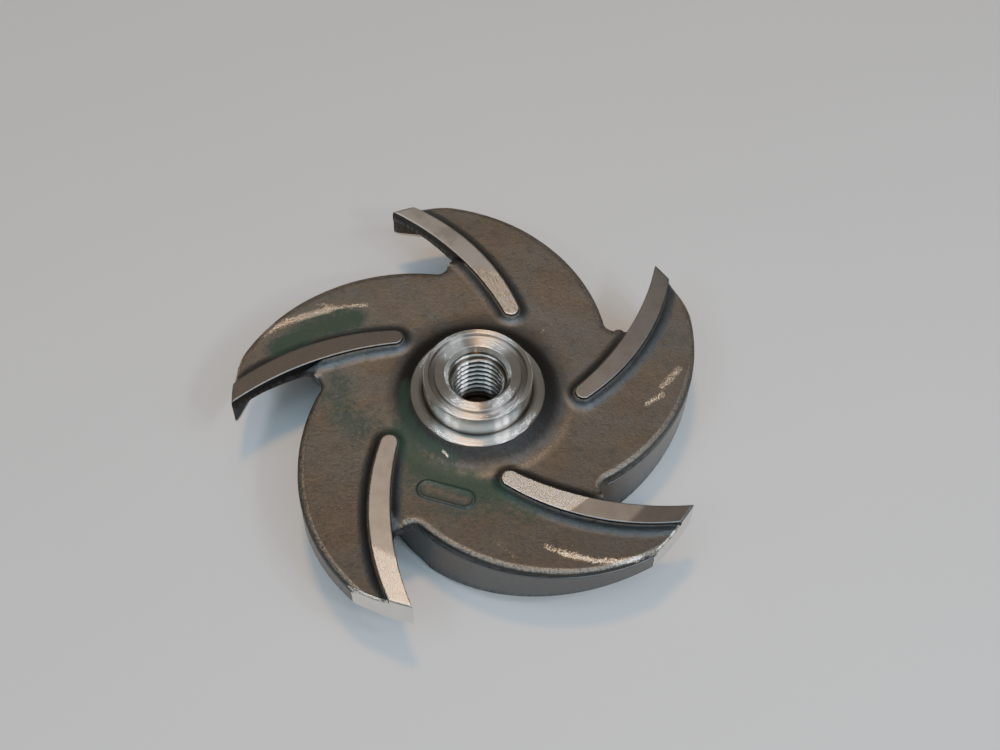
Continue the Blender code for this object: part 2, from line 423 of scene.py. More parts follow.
@dataclass
class Patchwork:
    """Collects grids and flat caps and welds them into one closed mesh.

    Attributes:
        name: Name of the piece.
        masks: Names of the point attributes that its finish reads.
        sharp: Angle in degrees above which an edge shows as sharp.
        weld: Distance in metres within which points are merged.
        least: Length in metres below which an edge is dropped.
        points: Points of each part, in millimetres.
        faces: Point numbers of each face.
        finishes: Material slot of each face.
        values: Mask values of each part.
        count: Number of points so far.
    """

    name: str
    masks: tuple[str, ...]
    sharp: float
    weld: float = 0.0000012
    least: float = 0.0000001
    points: list[Array] = field(default_factory=list)
    faces: list[list[int]] = field(default_factory=list)
    finishes: list[int] = field(default_factory=list)
    values: list[dict[str, Array]] = field(default_factory=list)
    count: int = 0

    def _add_points(self, points: Array, values: dict[str, Array]) -> None:
        """Stores points and their mask values, with 0 for a mask that isn't given.

        Args:
            points: The points, with coordinates on the last axis.
            values: Mask values that fit the points' grid.
        """
        flat = points.reshape(-1, 3)
        self.points.append(flat)
        self.values.append({
            mask: np.broadcast_to(values.get(mask, 0.0), points.shape[:-1]).reshape(-1) for mask in self.masks
        })
        self.count += len(flat)

    def grid(self, points: Array, finish: Finish, **values: Array) -> None:
        """Adds a grid of quads.

        Args:
            points: Rows by columns by three.
            finish: Finish of its faces.
            **values: Mask values on the same grid.
        """
        faces = quads(*points.shape[:2], self.count)
        self.faces.extend(faces.tolist())
        self.finishes.extend([finish.value] * len(faces))
        self._add_points(points, values)

    def cap(self, points: Array, finish: Finish) -> None:
        """Adds one flat face through a loop of points.

        Args:
            points: The loop.
            finish: Finish of the face.
        """
        self.faces.append(list(range(self.count, self.count + len(points))))
        self.finishes.append(finish.value)
        self._add_points(points, {})

    def build(self) -> bpy.types.Object:
        """Writes the mesh, welds its seams, drops faces of no area and turns all faces outwards.

        Returns:
            The finished object at the origin.
        """
        mesh = bpy.data.meshes.new(self.name)
        mesh.from_pydata((np.vstack(self.points) * MM).tolist(), [], self.faces)
        mesh.polygons.foreach_set("material_index", np.array(self.finishes, np.int32))
        for mask in self.masks:
            layer = mesh.attributes.new(mask, "FLOAT", "POINT")
            layer.data.foreach_set("value", np.concatenate([v[mask] for v in self.values]).astype(np.float32))
        work = bmesh.new()
        work.from_mesh(mesh)
        bmesh.ops.remove_doubles(work, verts=work.verts, dist=self.weld)
        bmesh.ops.dissolve_degenerate(work, dist=self.least, edges=work.edges)
        bmesh.ops.recalc_face_normals(work, faces=work.faces)
        loose = sum(1 for edge in work.edges if not edge.is_manifold)
        work.to_mesh(mesh)
        work.free()
        mesh.shade_smooth()
        mesh.set_sharp_from_angle(angle=math.radians(self.sharp))
        piece = bpy.data.objects.new(self.name, mesh)
        bpy.context.scene.collection.objects.link(piece)
        LOG.info("%s: %d points, %d faces, %d open edges",
                 self.name, len(mesh.vertices), len(mesh.polygons), loose)
        return piece


@dataclass(frozen=True)
class Wear:
    """Paint remains and rubbed strokes on the back of the casting.

    Attributes:
        paint: Strokes of green paint remains as route, width and strength.
        rubs: Bright rubbed strokes as route, width and strength.
    """

    paint: Marks = (
        ([(-65.5, 17.0), (-57.0, 23.5), (-49.0, 27.5), (-42.0, 29.0)], 5.0, 1.3),
        ([(-59.0, 27.5), (-50.0, 31.0), (-42.0, 31.5)], 3.4, 0.9),
        ([(-60.0, 32.0), (-50.0, 38.0), (-42.0, 40.0)], 4.0, 0.3),
        ([(-46.0, 3.0), (-43.5, -7.0), (-38.0, -13.0)], 7.0, 0.68),
        ([(-31.0, -4.0), (-30.0, -16.0), (-24.0, -26.0)], 5.0, 0.4),
        ([(-23.5, 2.0), (-24.0, -6.0), (-20.5, -14.5), (-15.0, -20.5), (-8.0, -25.0)], 2.6, 1.0),
        ([(-25.0, -16.0), (-17.0, -28.0), (-6.0, -33.0), (7.0, -37.0)], 5.4, 1.15),
        ([(-20.0, -32.0), (-6.0, -42.0), (9.0, -40.0)], 7.0, 0.55),
        ([(8.0, -38.0), (17.0, -44.0)], 3.6, 0.7),
    )
    rubs: Marks = (
        ([(-71.0, 23.4), (-67.5, 26.2), (-63.0, 28.4)], 1.6, 1.15),
        ([(-64.5, 27.6), (-56.6, 30.8), (-50.0, 33.2)], 1.4, 1.25),
        ([(-50.0, 33.2), (-44.0, 34.6), (-38.0, 35.0)], 0.8, 0.95),
        ([(-54.5, 35.2), (-50.5, 35.0), (-47.5, 34.3)], 0.35, 1.1),
        ([(21.5, -55.3), (25.0, -56.8), (31.0, -58.2)], 1.1, 0.75),
        ([(27.0, -57.8), (36.0, -59.9), (44.0, -60.0), (50.5, -58.6)], 1.0, 1.15),
        ([(60.5, 3.5), (63.5, 7.0), (66.6, 10.6)], 1.3, 0.85),
        ([(54.8, -3.4), (57.5, -1.4), (60.4, 0.4)], 0.9, 0.95),
        ([(19.9, 23.6), (24.0, 27.3), (27.5, 30.5)], 0.16, 0.6),
        ([(-10.8, -22.4), (-9.2, -24.3)], 0.35, 1.2),
        ([(5.6, -53.2), (9.0, -56.5), (12.8, -59.8)], 0.9, 0.3),
    )

    @staticmethod
    def lay(points: Array, marks: Marks) -> Array:
        """Strongest of several strokes at each plan point."""
        return np.max([strength * stroke(points, route, width) for route, width, strength in marks], 0)


@dataclass
class Casting:
    """The shroud with its nose: one cast body in two welded pieces that meet in the parting plane.

    Attributes:
        plan: Cast outline.
        levels: Heights.
        wear: Marks on the back.
        edge_round: Rounding of the cast edges on the back.
        under_round: Rounding of the lower edge.
        rib_fillet: Fillet at the foot of the ribs.
        hub_r: Radius of the hub's ledge.
        core_r: Radius of the hollow that the hub's sleeve fills.
        core_floor: Height of that hollow's floor.
        parting: Depth of the parting plane below the back.
        back_r: Radius of the back's inner end, under the hub.
        squash: Height of a rounded edge on the back as a share of its width.
        rib_foot: Greatest height of the fillet at a rib's foot.
        hub_foot: Width, height and power of the fillet at the hub's foot.
        bare_and_sheen_ring: Radius, width and strength of the ring where that fillet runs out, bare metal specks
            with a painted highlight.
        lip: Height of the strip along the top of a wall that stays out of its painted shade.
        nose_r: Radius of the nose where the flare meets it.
        nose_end_r: Radius of the nose at its rounded end.
        nose_high: Height at which the flare meets the nose.
        nose_power: Power of the nose's superellipse.
        flare_r: Radius at which the flare meets the shroud's cone.
        flare_power: Powers of the flare's radius and height.
    """

    plan: Plan
    levels: Levels
    wear: Wear = Wear()
    edge_round: float = 1.6
    under_round: float = 0.35
    rib_fillet: float = 4.0
    hub_r: float = 21.8
    core_r: float = 10.4
    core_floor: float = 6.6
    parting: float = 1.9
    back_r: float = 20.0
    squash: float = 0.62
    rib_foot: float = 2.05
    hub_foot: Triple = (12.0, 2.8, 2.3)
    bare_and_sheen_ring: Triple = (9.0, 1.8, 0.8)
    lip: float = 0.12
    nose_r: float = 13.6
    nose_end_r: float = 8.15
    nose_high: float = 11.3
    nose_power: float = 1.7
    flare_r: float = 35.0
    flare_power: Point = (1.6, 2.2)

    def __post_init__(self) -> None:
        """Works out the slot edges as angle against radius."""
        self.edge_convex, self.edge_concave = self.plan.slot_edges()
        self.low_r = float(np.hypot(*self.edge_convex[0]))

    def _angle(self, edge: Array, r: Array) -> Array:
        """Angle about the shaft axis of a slot edge at given radii."""
        return np.interp(r, np.hypot(*edge.T), np.unwrap(np.arctan2(edge[:, 1], edge[:, 0])))

    def _to_edge(self, plan: Array) -> Array:
        """Distance of plan points of the first petal from its cast edge and the next slot's bottom."""
        bottom = turned(self.edge_convex[:200], PITCH)
        return nearest(plan, np.vstack([self.edge_convex, bottom, turned(self.edge_concave, PITCH)]))

    def rows(self, fine: int, step: float) -> Array:
        """Radii of the grid rows over a petal: closing in on the slot's bottom and on the rim.

        The last rows follow the cones turned on the rim.

        Args:
            fine: Rows over the first three millimetres.
            step: Spacing of the other rows.

        Returns:
            Radii from the slot's bottom to the rim.
        """
        rim = self.plan.rim
        start = self.low_r + 3.0 * np.linspace(0.0, 1.0, fine) ** 2
        middle = np.linspace(start[-1], rim - self.plan.band[0], max(2, round((rim - start[-1]) / step)))
        turned_rows = rim - np.array([0.75, 0.7, 0.34, 0.3, 0.26, 0.03, 0.0])
        return np.concatenate([start[:-1], middle, turned_rows])

    def sector(self, radii: Array, middle: int, close: Array) -> Array:
        """Plan grid of the first petal: rows at even radius, columns from convex to concave edge.

        Beside each edge the columns keep set distances along the row, and between them they are
        evenly spread. Inside the slots' bottoms a row spans a fifth of the circle.

        Args:
            radii: Radii of the rows.
            middle: Columns between the two edge zones.
            close: Distances of the columns beside an edge.

        Returns:
            Rows by columns by two.
        """
        r = np.maximum(radii, self.low_r)[:, None]
        low = self._angle(self.edge_convex, r)
        high = self._angle(self.edge_concave, r) + PITCH
        width = (high - low) * r
        share = np.linspace(0.0, 1.0, middle + 2)[None, 1:-1]
        near = np.broadcast_to(close[None], (len(radii), len(close)))
        spread = close[-1] + (width - 2.0 * close[-1]) * share
        along = np.concatenate([near, spread, width - near[:, ::-1]], 1)
        angle = low + along / r
        return polar(radii[:, None], angle, 0.0)[..., :2]

    def back_height(self, plan: Array) -> tuple[Array, Array, Array]:
        """Height of the shroud's back over the first petal, with its fillets and rounded edges.

        The flat back plus a concave arc at the rib's foot and a power curve at the hub's foot,
        less a quarter of an ellipse along the cast edges and a small bevel at the turned rim.

        Args:
            plan: Plan points of the first petal.

        Returns:
            Heights, how deep each point lies in a foot fillet, which sets its painted shade, and how much a
            rounded edge is lightened for wear and as painted highlight, both from 0 to 1.
        """
        x, y = plan[..., 0], plan[..., 1]
        r = np.hypot(x, y)
        to_edge = self._to_edge(plan)
        to_rib = nearest(plan, self.plan.rib_wall(0.0, np.linspace(0.0, 1.0, 700))[0])
        rounding = np.minimum(self.edge_round, self.squash * self.levels.thickness(r))
        lost = quarter_round(to_edge * self.squash, rounding)
        rib = np.minimum(quarter_round(to_rib, self.rib_fillet), self.rib_foot) * smooth_step(to_edge, 0.8, 6.0)
        width, high, power = self.hub_foot
        out = np.clip(r - self.hub_r, 0.0, width)
        hub = high * (1.0 - out / width) ** power
        swell = 0.05 * np.sin(x / 5.1 + 1.3) * np.sin(y / 6.3 + 0.4)
        ripple = swell + 0.03 * np.sin((x + y) / 3.1) * np.sin((x - 1.4 * y) / 4.3)
        bevel = self.levels.rim_bevel(r, self.plan.rim)
        fade = np.clip(to_edge / 2.5, 0.0, 1.0)
        # Painted shade beside the ribs and round the hub's foot.
        foot = 0.75 * np.clip(1.0 - to_rib / 2.6, 0.0, 1.0) + 1.0 - smooth_step(out, 2.5, 8.0)
        # Rounded edges lightened for wear and as painted highlight.
        worn_and_sheen = smooth_step(lost, 0.004, 0.06) * (1.0 - smooth_step(lost, 0.4, 1.1)) * smooth_step(to_rib, 1.0, 4.5)
        height = self.levels.shroud + rib + hub - lost - bevel + ripple * fade
        return height, np.clip(foot, 0.0, 1.0), worn_and_sheen

    def skirt(self, work: Patchwork, top: Array, floor: float, finish: Finish, **values: Array) -> None:
        """Wall from an edge straight down to a level.

        Args:
            work: The piece.
            top: Points of the edge.
            floor: Height of the wall's lower end.
            finish: Finish of the wall.
            **values: Mask values along the edge; below it a cast wall is darkened as painted shade.
        """
        rows = np.repeat(top[None], 3, 0)
        rows[1, :, 2] -= self.lip
        rows[2, :, 2] = floor
        below = np.array([False, True, True])[:, None]
        masks = {name: np.where(below, 0.0, value[None]) for name, value in values.items()}
        # Painted shade on a cast wall below its top strip.
        masks["foot"] = np.where(below, 0.0 if finish is Finish.TURNED else 1.0, masks["foot"])
        work.grid(rows, finish, **masks)

    def _marks(self, place: Array, foot: Array, worn_and_sheen: Array) -> dict[str, Array]:
        """Mask values of the back where a petal really lies.

        The ring at the hub's foot is a bell curve of the radius, strongest towards -Y as painted highlight.

        Args:
            place: Points of the petal in its place.
            foot: How deep each point lies in a foot fillet, which sets its painted shade.
            worn_and_sheen: How much each point on a rounded edge is lightened for wear and as painted highlight.

        Returns:
            Values by the names of the masks.
        """
        r = np.hypot(place[..., 0], place[..., 1])
        outward, width, strength = self.bare_and_sheen_ring
        # Painted highlight: the ring fades away from the near, -Y side.
        ring = np.exp(-((r - self.hub_r - outward) / width) ** 2) * (0.5 - 0.5 * place[..., 1] / r)
        return {
            "foot": foot,
            "edge": np.maximum(worn_and_sheen, strength * ring),
            "paint": self.wear.lay(place, self.wear.paint),
            "rub": np.maximum(self.wear.lay(place, self.wear.rubs), self.plan.rim_band(place)),
        }

    def back_piece(self) -> bpy.types.Object:
        """Builds the back of the shroud down to the parting plane.

        Returns:
            The piece.
        """
        work = Patchwork("shroud_back", ("paint", "rub", "foot", "edge"), 50.0)
        close = np.array([0.0, 0.05, 0.2, 0.45, 0.8, 1.25, 1.8, 2.5, 3.4, 4.5])
        seam = self.levels.shroud - self.parting
        surfaces = []
        for radii in (np.linspace(self.back_r, self.low_r, 62), self.rows(16, 0.52)):
            plan = self.sector(radii, 84, close)
            z, foot, worn_and_sheen = self.back_height(plan)
            surfaces.append((np.concatenate([plan, z[..., None]], -1), foot, worn_and_sheen))
        for k in range(PETALS):
            tops, lows, masks = [], [], {}
            for points, foot, worn_and_sheen in surfaces:
                place = turned(points, k * PITCH)
                masks = self._marks(place, foot, worn_and_sheen)
                work.grid(place, Finish.CAST, **masks)
                low = place.copy()
                low[..., 2] = seam
                tops.append(place)
                lows.append(low)
            (ring, petal), (ring_low, petal_low) = tops, lows
            work.grid(np.stack([ring[0], ring_low[0]]), Finish.CAST)
            for side, finish in SIDES:
                self.skirt(work, petal[side], seam, finish, **{name: value[side] for name, value in masks.items()})
            loop = [petal_low[:, 0], petal_low[-1, 1:-1], petal_low[::-1, -1], ring_low[0, ::-1]]
            work.cap(np.vstack(loop), Finish.CAST)
        return work.build()

    def under_profile(self) -> tuple[Array, Array]:
        """Turned underside from the slots' bottoms in: coned shroud, flare, nose and flat end.

        The flare is a power curve between the cone and the nose, the nose a quarter of a
        superellipse.

        Returns:
            Radii and heights from the shroud's underside to the axis.
        """
        cone_r = np.linspace(self.low_r, self.flare_r, 18)
        cone_z = self.levels.shroud - self.levels.thickness(cone_r)
        t = np.linspace(1.0, 0.0, 30)
        flare_r = self.nose_r + (self.flare_r - self.nose_r) * t ** self.flare_power[0]
        top = cone_z[-1]
        flare_z = top - (top - self.nose_high) * (1.0 - t) ** self.flare_power[1]
        q = np.sin(np.linspace(0.0, 0.5 * math.pi, 26))
        nose_z = self.nose_high * (1.0 - q)
        bulge = (1.0 - q ** self.nose_power) ** (1.0 / self.nose_power)
        nose_r = self.nose_end_r + (self.nose_r - self.nose_end_r) * bulge
        end_r = np.array([0.96, 0.6, 0.3, 0.0]) * self.nose_end_r
        r = np.concatenate([cone_r, flare_r[1:], nose_r[1:], end_r])
        z = np.concatenate([cone_z, flare_z[1:], nose_z[1:], np.zeros_like(end_r)])
        return r, z

    def front_piece(self) -> bpy.types.Object:
        """Builds the front of the shroud below the parting plane, with the nose.

        Returns:
            The piece.
        """
        work = Patchwork("shroud_front", ("paint", "rub", "foot", "edge"), 50.0)
        close = np.array([0.0, 0.06, 0.18, 0.4, 1.0, 2.2])
        seam = self.levels.shroud - self.parting
        plan = self.sector(self.rows(14, 0.8), 34, close)
        r = np.hypot(plan[..., 0], plan[..., 1])
        lift = quarter_round(self._to_edge(plan), self.under_round)
        z = self.levels.shroud - self.levels.thickness(r) + lift
        petal = np.concatenate([plan, np.minimum(z, seam - 0.05)[..., None]], -1)
        ring_r, ring_z = self.under_profile()
        spread = np.arctan2(plan[0, :, 1], plan[0, :, 0])
        ring = polar(ring_r[:, None], spread[None], ring_z[:, None])
        ring[0, :, 2] = petal[0, :, 2]
        core_r = np.array([self.core_r, self.core_r, 0.0])
        core_z = np.array([seam, self.core_floor, self.core_floor])
        core = polar(core_r[:, None], spread[None], core_z[:, None])
        for k in range(PETALS):
            place, nose, pocket = (turned(part, k * PITCH) for part in (petal, ring, core))
            high = place.copy()
            high[..., 2] = seam
            for part in (place, nose, pocket):
                work.grid(part, Finish.CAST)
            for side, finish in SIDES:
                # Painted shade on the cast walls under the petals' edges.
                work.grid(np.stack([place[side], high[side]]), finish, foot=float(finish is Finish.CAST))
            work.cap(np.vstack([high[:, 0], high[-1, 1:-1], high[::-1, -1], pocket[0, ::-1]]), Finish.CAST)
        return work.build()


@dataclass
class Ribs:
    """Pump-out ribs on the back, milled flat on top.

    Attributes:
        plan: Cast outline.
        levels: Heights.
        proud: How far the ribs stand proud of the walls that they are flush with.
        buried: Depth of their foot below the shroud's back.
        bevel: Width of the broken edge along the top.
        drop: Height of that edge.
        draft: How much narrower each side is at the top.
        tones: How light the milled top of each rib is, from 0 to 1.
    """

    plan: Plan
    levels: Levels
    proud: float = 0.03
    buried: float = 1.75
    bevel: float = 0.4
    drop: float = 0.32
    draft: float = 0.14
    tones: tuple[float, ...] = (0.30, 0.86, 0.07, 0.46, 0.26)

    def section(self) -> tuple[Array, Array]:
        """Section up one wall: drafted wall, then a rounded bevel onto the top.

        Returns:
            Distances inside the wall at the foot, and heights.
        """
        back, top = self.levels.shroud, self.levels.rib - self.drop
        turn = np.linspace(0.0, 0.5 * math.pi, 5)
        rounding = self.draft + self.bevel * (1.0 - np.cos(turn))
        inset = np.concatenate([[-self.proud, -self.proud, self.draft - 0.01], rounding])
        height = np.concatenate([[back - self.buried, back + 0.4, top - 0.1], top + self.drop * np.sin(turn)])
        return inset, height

    def _mill(self, work: Patchwork, points: Array, k: int, **values: Array) -> None:
        """Adds a milled grid with its ground zones and its tone.

        Args:
            work: The piece.
            points: Points of the grid.
            k: Number of the petal.
            **values: Other mask values on the same grid.
        """
        work.grid(points, Finish.MILLED, ground=self.ground(points, k), tone=self.tone(points, k), **values)

    def piece(self, k: int) -> bpy.types.Object:
        """Builds one rib.

        The wall is a grid of section rows along the wall's run. The top is a ladder between the
        two sides with a fan over the round end.

        Args:
            k: Number of the petal, counted from the first.

        Returns:
            The rib.
        """
        near_rim = [0.0, 0.0006, 0.0036, 0.0044, 0.0092, 0.0100]
        share = np.concatenate([near_rim, np.linspace(0.0125, 1.0, 220)])
        count = len(share)
        work = Patchwork(f"rib_{k + 1}", ("ground", "foot", "edge", "tone"), 30.0)
        inset, height = self.section()
        wall = self.plan.rib_wall(inset, share)
        r = np.hypot(wall[..., 0], wall[..., 1])
        low = height[1]
        squash = np.clip((height - low) / (height[-1] - low), 0.0, 1.0)[:, None]
        z = height[:, None] - squash * self.levels.rim_bevel(r, self.plan.rim)
        points = turned(np.concatenate([wall, z[..., None]], -1), k * PITCH)
        # Painted shade on the rib's cast walls.
        work.grid(points[:4], Finish.CAST, ground=self.ground(points[:4], k), foot=1.0)
        bare = np.array([1.0] * (len(height) - 4) + [0.0])[:, None]
        self._mill(work, points[3:], k, edge=bare)
        outer, inner = points[:, :count], points[:, -count:][:, ::-1]
        across = np.array([0.0, 0.015, 0.12, 0.35, 0.65, 0.88, 0.985, 1.0])[:, None, None]
        ladder = outer[-1] * (1.0 - across) + inner[-1] * across
        inward = (across[..., 0] > 0.0) & (across[..., 0] < 1.0)
        self._mill(work, ladder, k, edge=self.plan.rim_band(ladder) * inward)
        middle = 0.5 * (outer[-1, -1] + inner[-1, -1])
        arc = points[-1, count - 1:points.shape[1] - count + 1]
        self._mill(work, middle + (arc - middle) * np.array([0.0, 0.4, 0.8, 0.97, 1.0])[:, None, None], k)
        chord = outer[-1, -1] * (1.0 - across[:, 0]) + inner[-1, -1] * across[:, 0]
        self._mill(work, np.stack([chord, np.broadcast_to(middle, chord.shape)]), k)
        end = outer[:, 0][:, None] * (1.0 - across[:, 0]) + inner[:, 0][:, None] * across[:, 0]
        end[..., :2] *= self.plan.rim / np.hypot(end[..., 0], end[..., 1])[..., None]
        work.grid(end, Finish.TURNED)
        work.cap(np.concatenate([points[0], end[0][::-1][1:-1]]), Finish.CAST)
        return work.build()

    def ground(self, points: Array, k: int) -> Array:
        """How strongly a rib is ground bright by hand, a cubic step of the radius.

        The second rib and the last one are ground over their inner part, the third one faintly,
        and the fourth one at its outer end.

        Args:
            points: Points of the rib.
            k: Number of the petal.

        Returns:
            Values from 0 to 1.
        """
        r = np.hypot(points[..., 0], points[..., 1])
        zones = {
            1: 1.0 - smooth_step(r, 44.0, 54.0),
            4: 1.0 - smooth_step(r, 51.0, 54.5),
            3: smooth_step(r, 60.0, 69.0),
            2: 0.25 * (1.0 - smooth_step(r, 40.0, 46.0)),
        }
        return zones.get(k, np.zeros_like(r))

    def tone(self, points: Array, k: int) -> Array:
        """How light the milled top of a rib is; the last one darkens towards the rim in a step.

        Args:
            points: Points of the rib.
            k: Number of the petal.

        Returns:
            Values from 0 to 1.
        """
        r = np.hypot(points[..., 0], points[..., 1])
        darker = 0.24 * smooth_step(r, 66.0, 68.0) if k == PETALS - 1 else np.zeros_like(r)
        return self.tones[k] - darker


@dataclass
class Vanes:
    """Working vanes on the front.

    Attributes:
        plan: Cast outline.
        levels: Heights.
        inset: How far the vane lies inside the convex edge.
        rim_thick: Thickness at the rim.
        eye_thick: Thickness at the eye.
        swell: Extra thickness halfway.
        belly: Extra thickness behind the rim, and the share of the length over which it grows.
        eye_r: Radius of the vane's inner end.
        pull: Tightness of the inner spiral, radius lost per radian.
        join: Angle at which the spiral takes over from the convex edge's circle.
        fillet: Fillet against the shroud.
        deep: Depth below the shroud's underside at which the wall passes the front edge.
        edge: Width and height of the broken edge along the front.
        tail: Share of the length at which the rounded inner end begins.
        across: Columns of the strips that close the front edge, the back and the rim end.
    """

    plan: Plan
    levels: Levels
    inset: float = 0.45
    rim_thick: float = 4.16
    eye_thick: float = 3.6
    swell: float = 1.2
    belly: Point = (1.6, 0.105)
    eye_r: float = 27.0
    pull: float = 0.40
    join: float = math.radians(-39.0)
    fillet: float = 2.6
    deep: float = 30.0
    edge: float = 0.18
    tail: float = 1.965
    across: int = 25

    def _join_point(self) -> Array:
        """Point where the ray at the join angle leaves the vane's circle.

        Returns:
            Plan point.
        """
        circle = self.plan.convex
        ray = np.array([math.cos(self.join), math.sin(self.join)])
        b = ray @ np.array([circle.x, circle.y])
        own = circle.radius - self.inset
        return ray * (b + math.sqrt(b * b - circle.x ** 2 - circle.y ** 2 + own ** 2))

    def course(self, share: Array, inward: Array) -> Array:
        """Plan points of the vane at a share of its length and a distance inside its outer wall.

        Up to the join it is a circle about the convex edge's centre; beyond it a logarithmic
        spiral about the shaft axis, moved along its own normal.

        Args:
            share: 0 at the rim, 1 at the join, 2 at the inner end.
            inward: Distance inside the outer wall.

        Returns:
            Plan points.
        """
        circle = self.plan.convex
        point = self._join_point()
        grow = -self.inset - inward
        start = circle.rim_bearing(self.plan.rim, grow)
        end = float(circle.bearing(point))
        arc = circle.at(start + (end - start) * np.clip(share, 0.0, 1.0), grow)
        reach = math.hypot(*point)
        sweep = np.clip(share - 1.0, 0.0, 1.0) * -math.log(reach / self.eye_r) / self.pull
        r = reach * np.exp(self.pull * sweep)
        angle = self.join + sweep
        way = angle + math.atan2(1.0, self.pull) + math.pi
        x, y = r * np.cos(angle) + inward * np.sin(way), r * np.sin(angle) - inward * np.cos(way)
        return np.where((share <= 1.0)[..., None], arc, np.stack([x, y], -1))

    def _thickness(self, share: Array) -> tuple[Array, Array]:
        """Thickness of the vane along its course.

        A straight change from rim to eye and half a sine wave, plus a belly that grows as one
        minus an exponential and dies away in a cubic step. At the inner end the half width
        shrinks to nothing along a quarter circle.

        Args:
            share: Places along the course.

        Returns:
            Full thickness before that shrinking, and half width after it.
        """
        run = share / 2.0
        full = self.rim_thick + (self.eye_thick - self.rim_thick) * run + self.swell * np.sin(math.pi * run)
        extra, growth = self.belly
        full = full + extra * (1.0 - np.exp(-share / growth)) * (1.0 - smooth_step(share, 0.2, 0.8))
        tail = np.clip((share - self.tail) / (2.0 - self.tail), 0.0, 1.0)
        return full, 0.5 * full * np.sqrt(np.maximum(1.0 - tail ** 2, 0.0))

    def _section(self, share: Array) -> tuple[Array, Array]:
        """Section of the vane at places along its course.

        It runs down the outer wall, across the milled front edge and up the inner wall, with a
        fillet that fades in at the top of each wall, and a lip on the outer one near the rim.

        Args:
            share: Places along the course.

        Returns:
            Distances inside the outer wall, rows by columns, and depths of the columns below the
            shroud's underside.
        """
        full, half = (value[:, None] for value in self._thickness(share))
        depth = np.array([-0.8, -0.05, 0.0, 0.12, 0.35, 0.7, 1.2, 1.8, self.fillet])
        flare = quarter_round(depth, self.fillet) * (depth >= 0.0) + self.fillet * (depth < 0.0)
        wall = np.concatenate([depth, np.linspace(self.fillet, self.deep, 6)[1:]])
        flare = np.concatenate([flare, np.zeros(5)])
        outer_flare = flare[None] * smooth_step(share, 0.98, 1.3)[:, None]
        inner_flare = flare[None] * smooth_step(share, 0.25, 0.6)[:, None]
        jut = np.interp(wall, [-0.05, 0.0, 0.12, 0.35, 0.7, 2.6], [-0.3, 0.35, 0.6, 0.68, 0.68, 0.62])
        lip = jut[None] * (1.0 - smooth_step(share, 0.93, 1.0))[:, None]
        low, high = 0.5 * full - half, 0.5 * full + half
        outward = low - outer_flare - lip
        inward = high + inner_flare
        broken = [np.clip(side, low, high) for side in (outward[:, -1:] + self.edge, inward[:, -1:] - self.edge)]
        inset = np.concatenate([outward, *broken, inward[:, ::-1]], 1)
        return inset, np.concatenate([wall, [self.deep + 1.0] * 2, wall[::-1]])

    def piece(self, k: int) -> bpy.types.Object:
        """Builds one vane as a section carried along its course.

        Heights go in even shares from the fillet's foot to the front edge. Strips between the two
        walls close the front edge, the back and the rim end.

        Args:
            k: Number of the petal.

        Returns:
            The vane.
        """
        work = Patchwork(f"vane_{k + 1}", ("smooth", "foot"), 35.0)
        tail = self.tail + (2.0 - self.tail) * np.sin(np.linspace(0.0, 0.5 * math.pi, 9))[1:]
        share = np.concatenate([[0.0, 0.004], np.linspace(0.012, 1.0, 210)[:-1],
                                np.linspace(1.0, self.tail, 60), tail])
        inset, down = self._section(share)
        plan = self.course(np.broadcast_to(share[:, None], inset.shape), inset)
        r = np.hypot(plan[..., 0], plan[..., 1])
        under = self.levels.shroud - self.levels.thickness(r)
        front = self.levels.front(r, self.plan.rim)
        z = np.maximum(under - down, front + np.where(down > self.deep, 0.0, self.edge))
        part = np.clip((down - self.fillet) / (self.deep - self.fillet), 0.0, 1.0)
        even = (under - self.fillet) * (1.0 - part) + (front + self.edge) * part
        z = np.where((down >= self.fillet) & (down <= self.deep), even, z)
        points = turned(np.concatenate([plan, z[..., None]], -1), k * PITCH)
        wall = len(down) // 2 - 1
        work.grid(points[:, :wall], Finish.CAST, smooth=1.0)
        work.grid(points[:, wall - 1:wall + 1], Finish.TURNED)
        work.grid(points[:, wall + 1:wall + 4], Finish.TURNED)
        # Painted shade on the vane's inner wall.
        work.grid(points[:, wall + 3:], Finish.CAST, smooth=1.0, foot=0.8)
        across = np.linspace(0.0, 1.0, self.across)
        for first, last in ((wall, wall + 1), (0, 2 * wall + 1)):
            inward = inset[:, first, None] * (1.0 - across) + inset[:, last, None] * across
            strip = self.course(np.broadcast_to(share[:, None], inward.shape), inward)
            r = np.hypot(strip[..., 0], strip[..., 1])
            back = self.levels.shroud - self.levels.thickness(r) + 0.8
            level = self.levels.front(r, self.plan.rim) if first else back
            work.grid(turned(np.concatenate([strip, level[..., None]], -1), k * PITCH), Finish.TURNED)
        inward = inset[0, :wall + 1, None] * (1.0 - across) + inset[0, :wall:-1, None] * across
        end = self.course(np.zeros_like(inward), inward)
        height = np.broadcast_to(z[0, :wall + 1, None], inward.shape)
        work.grid(turned(np.stack([end[..., 0], end[..., 1], height], -1), k * PITCH), Finish.TURNED)
        return work.build()


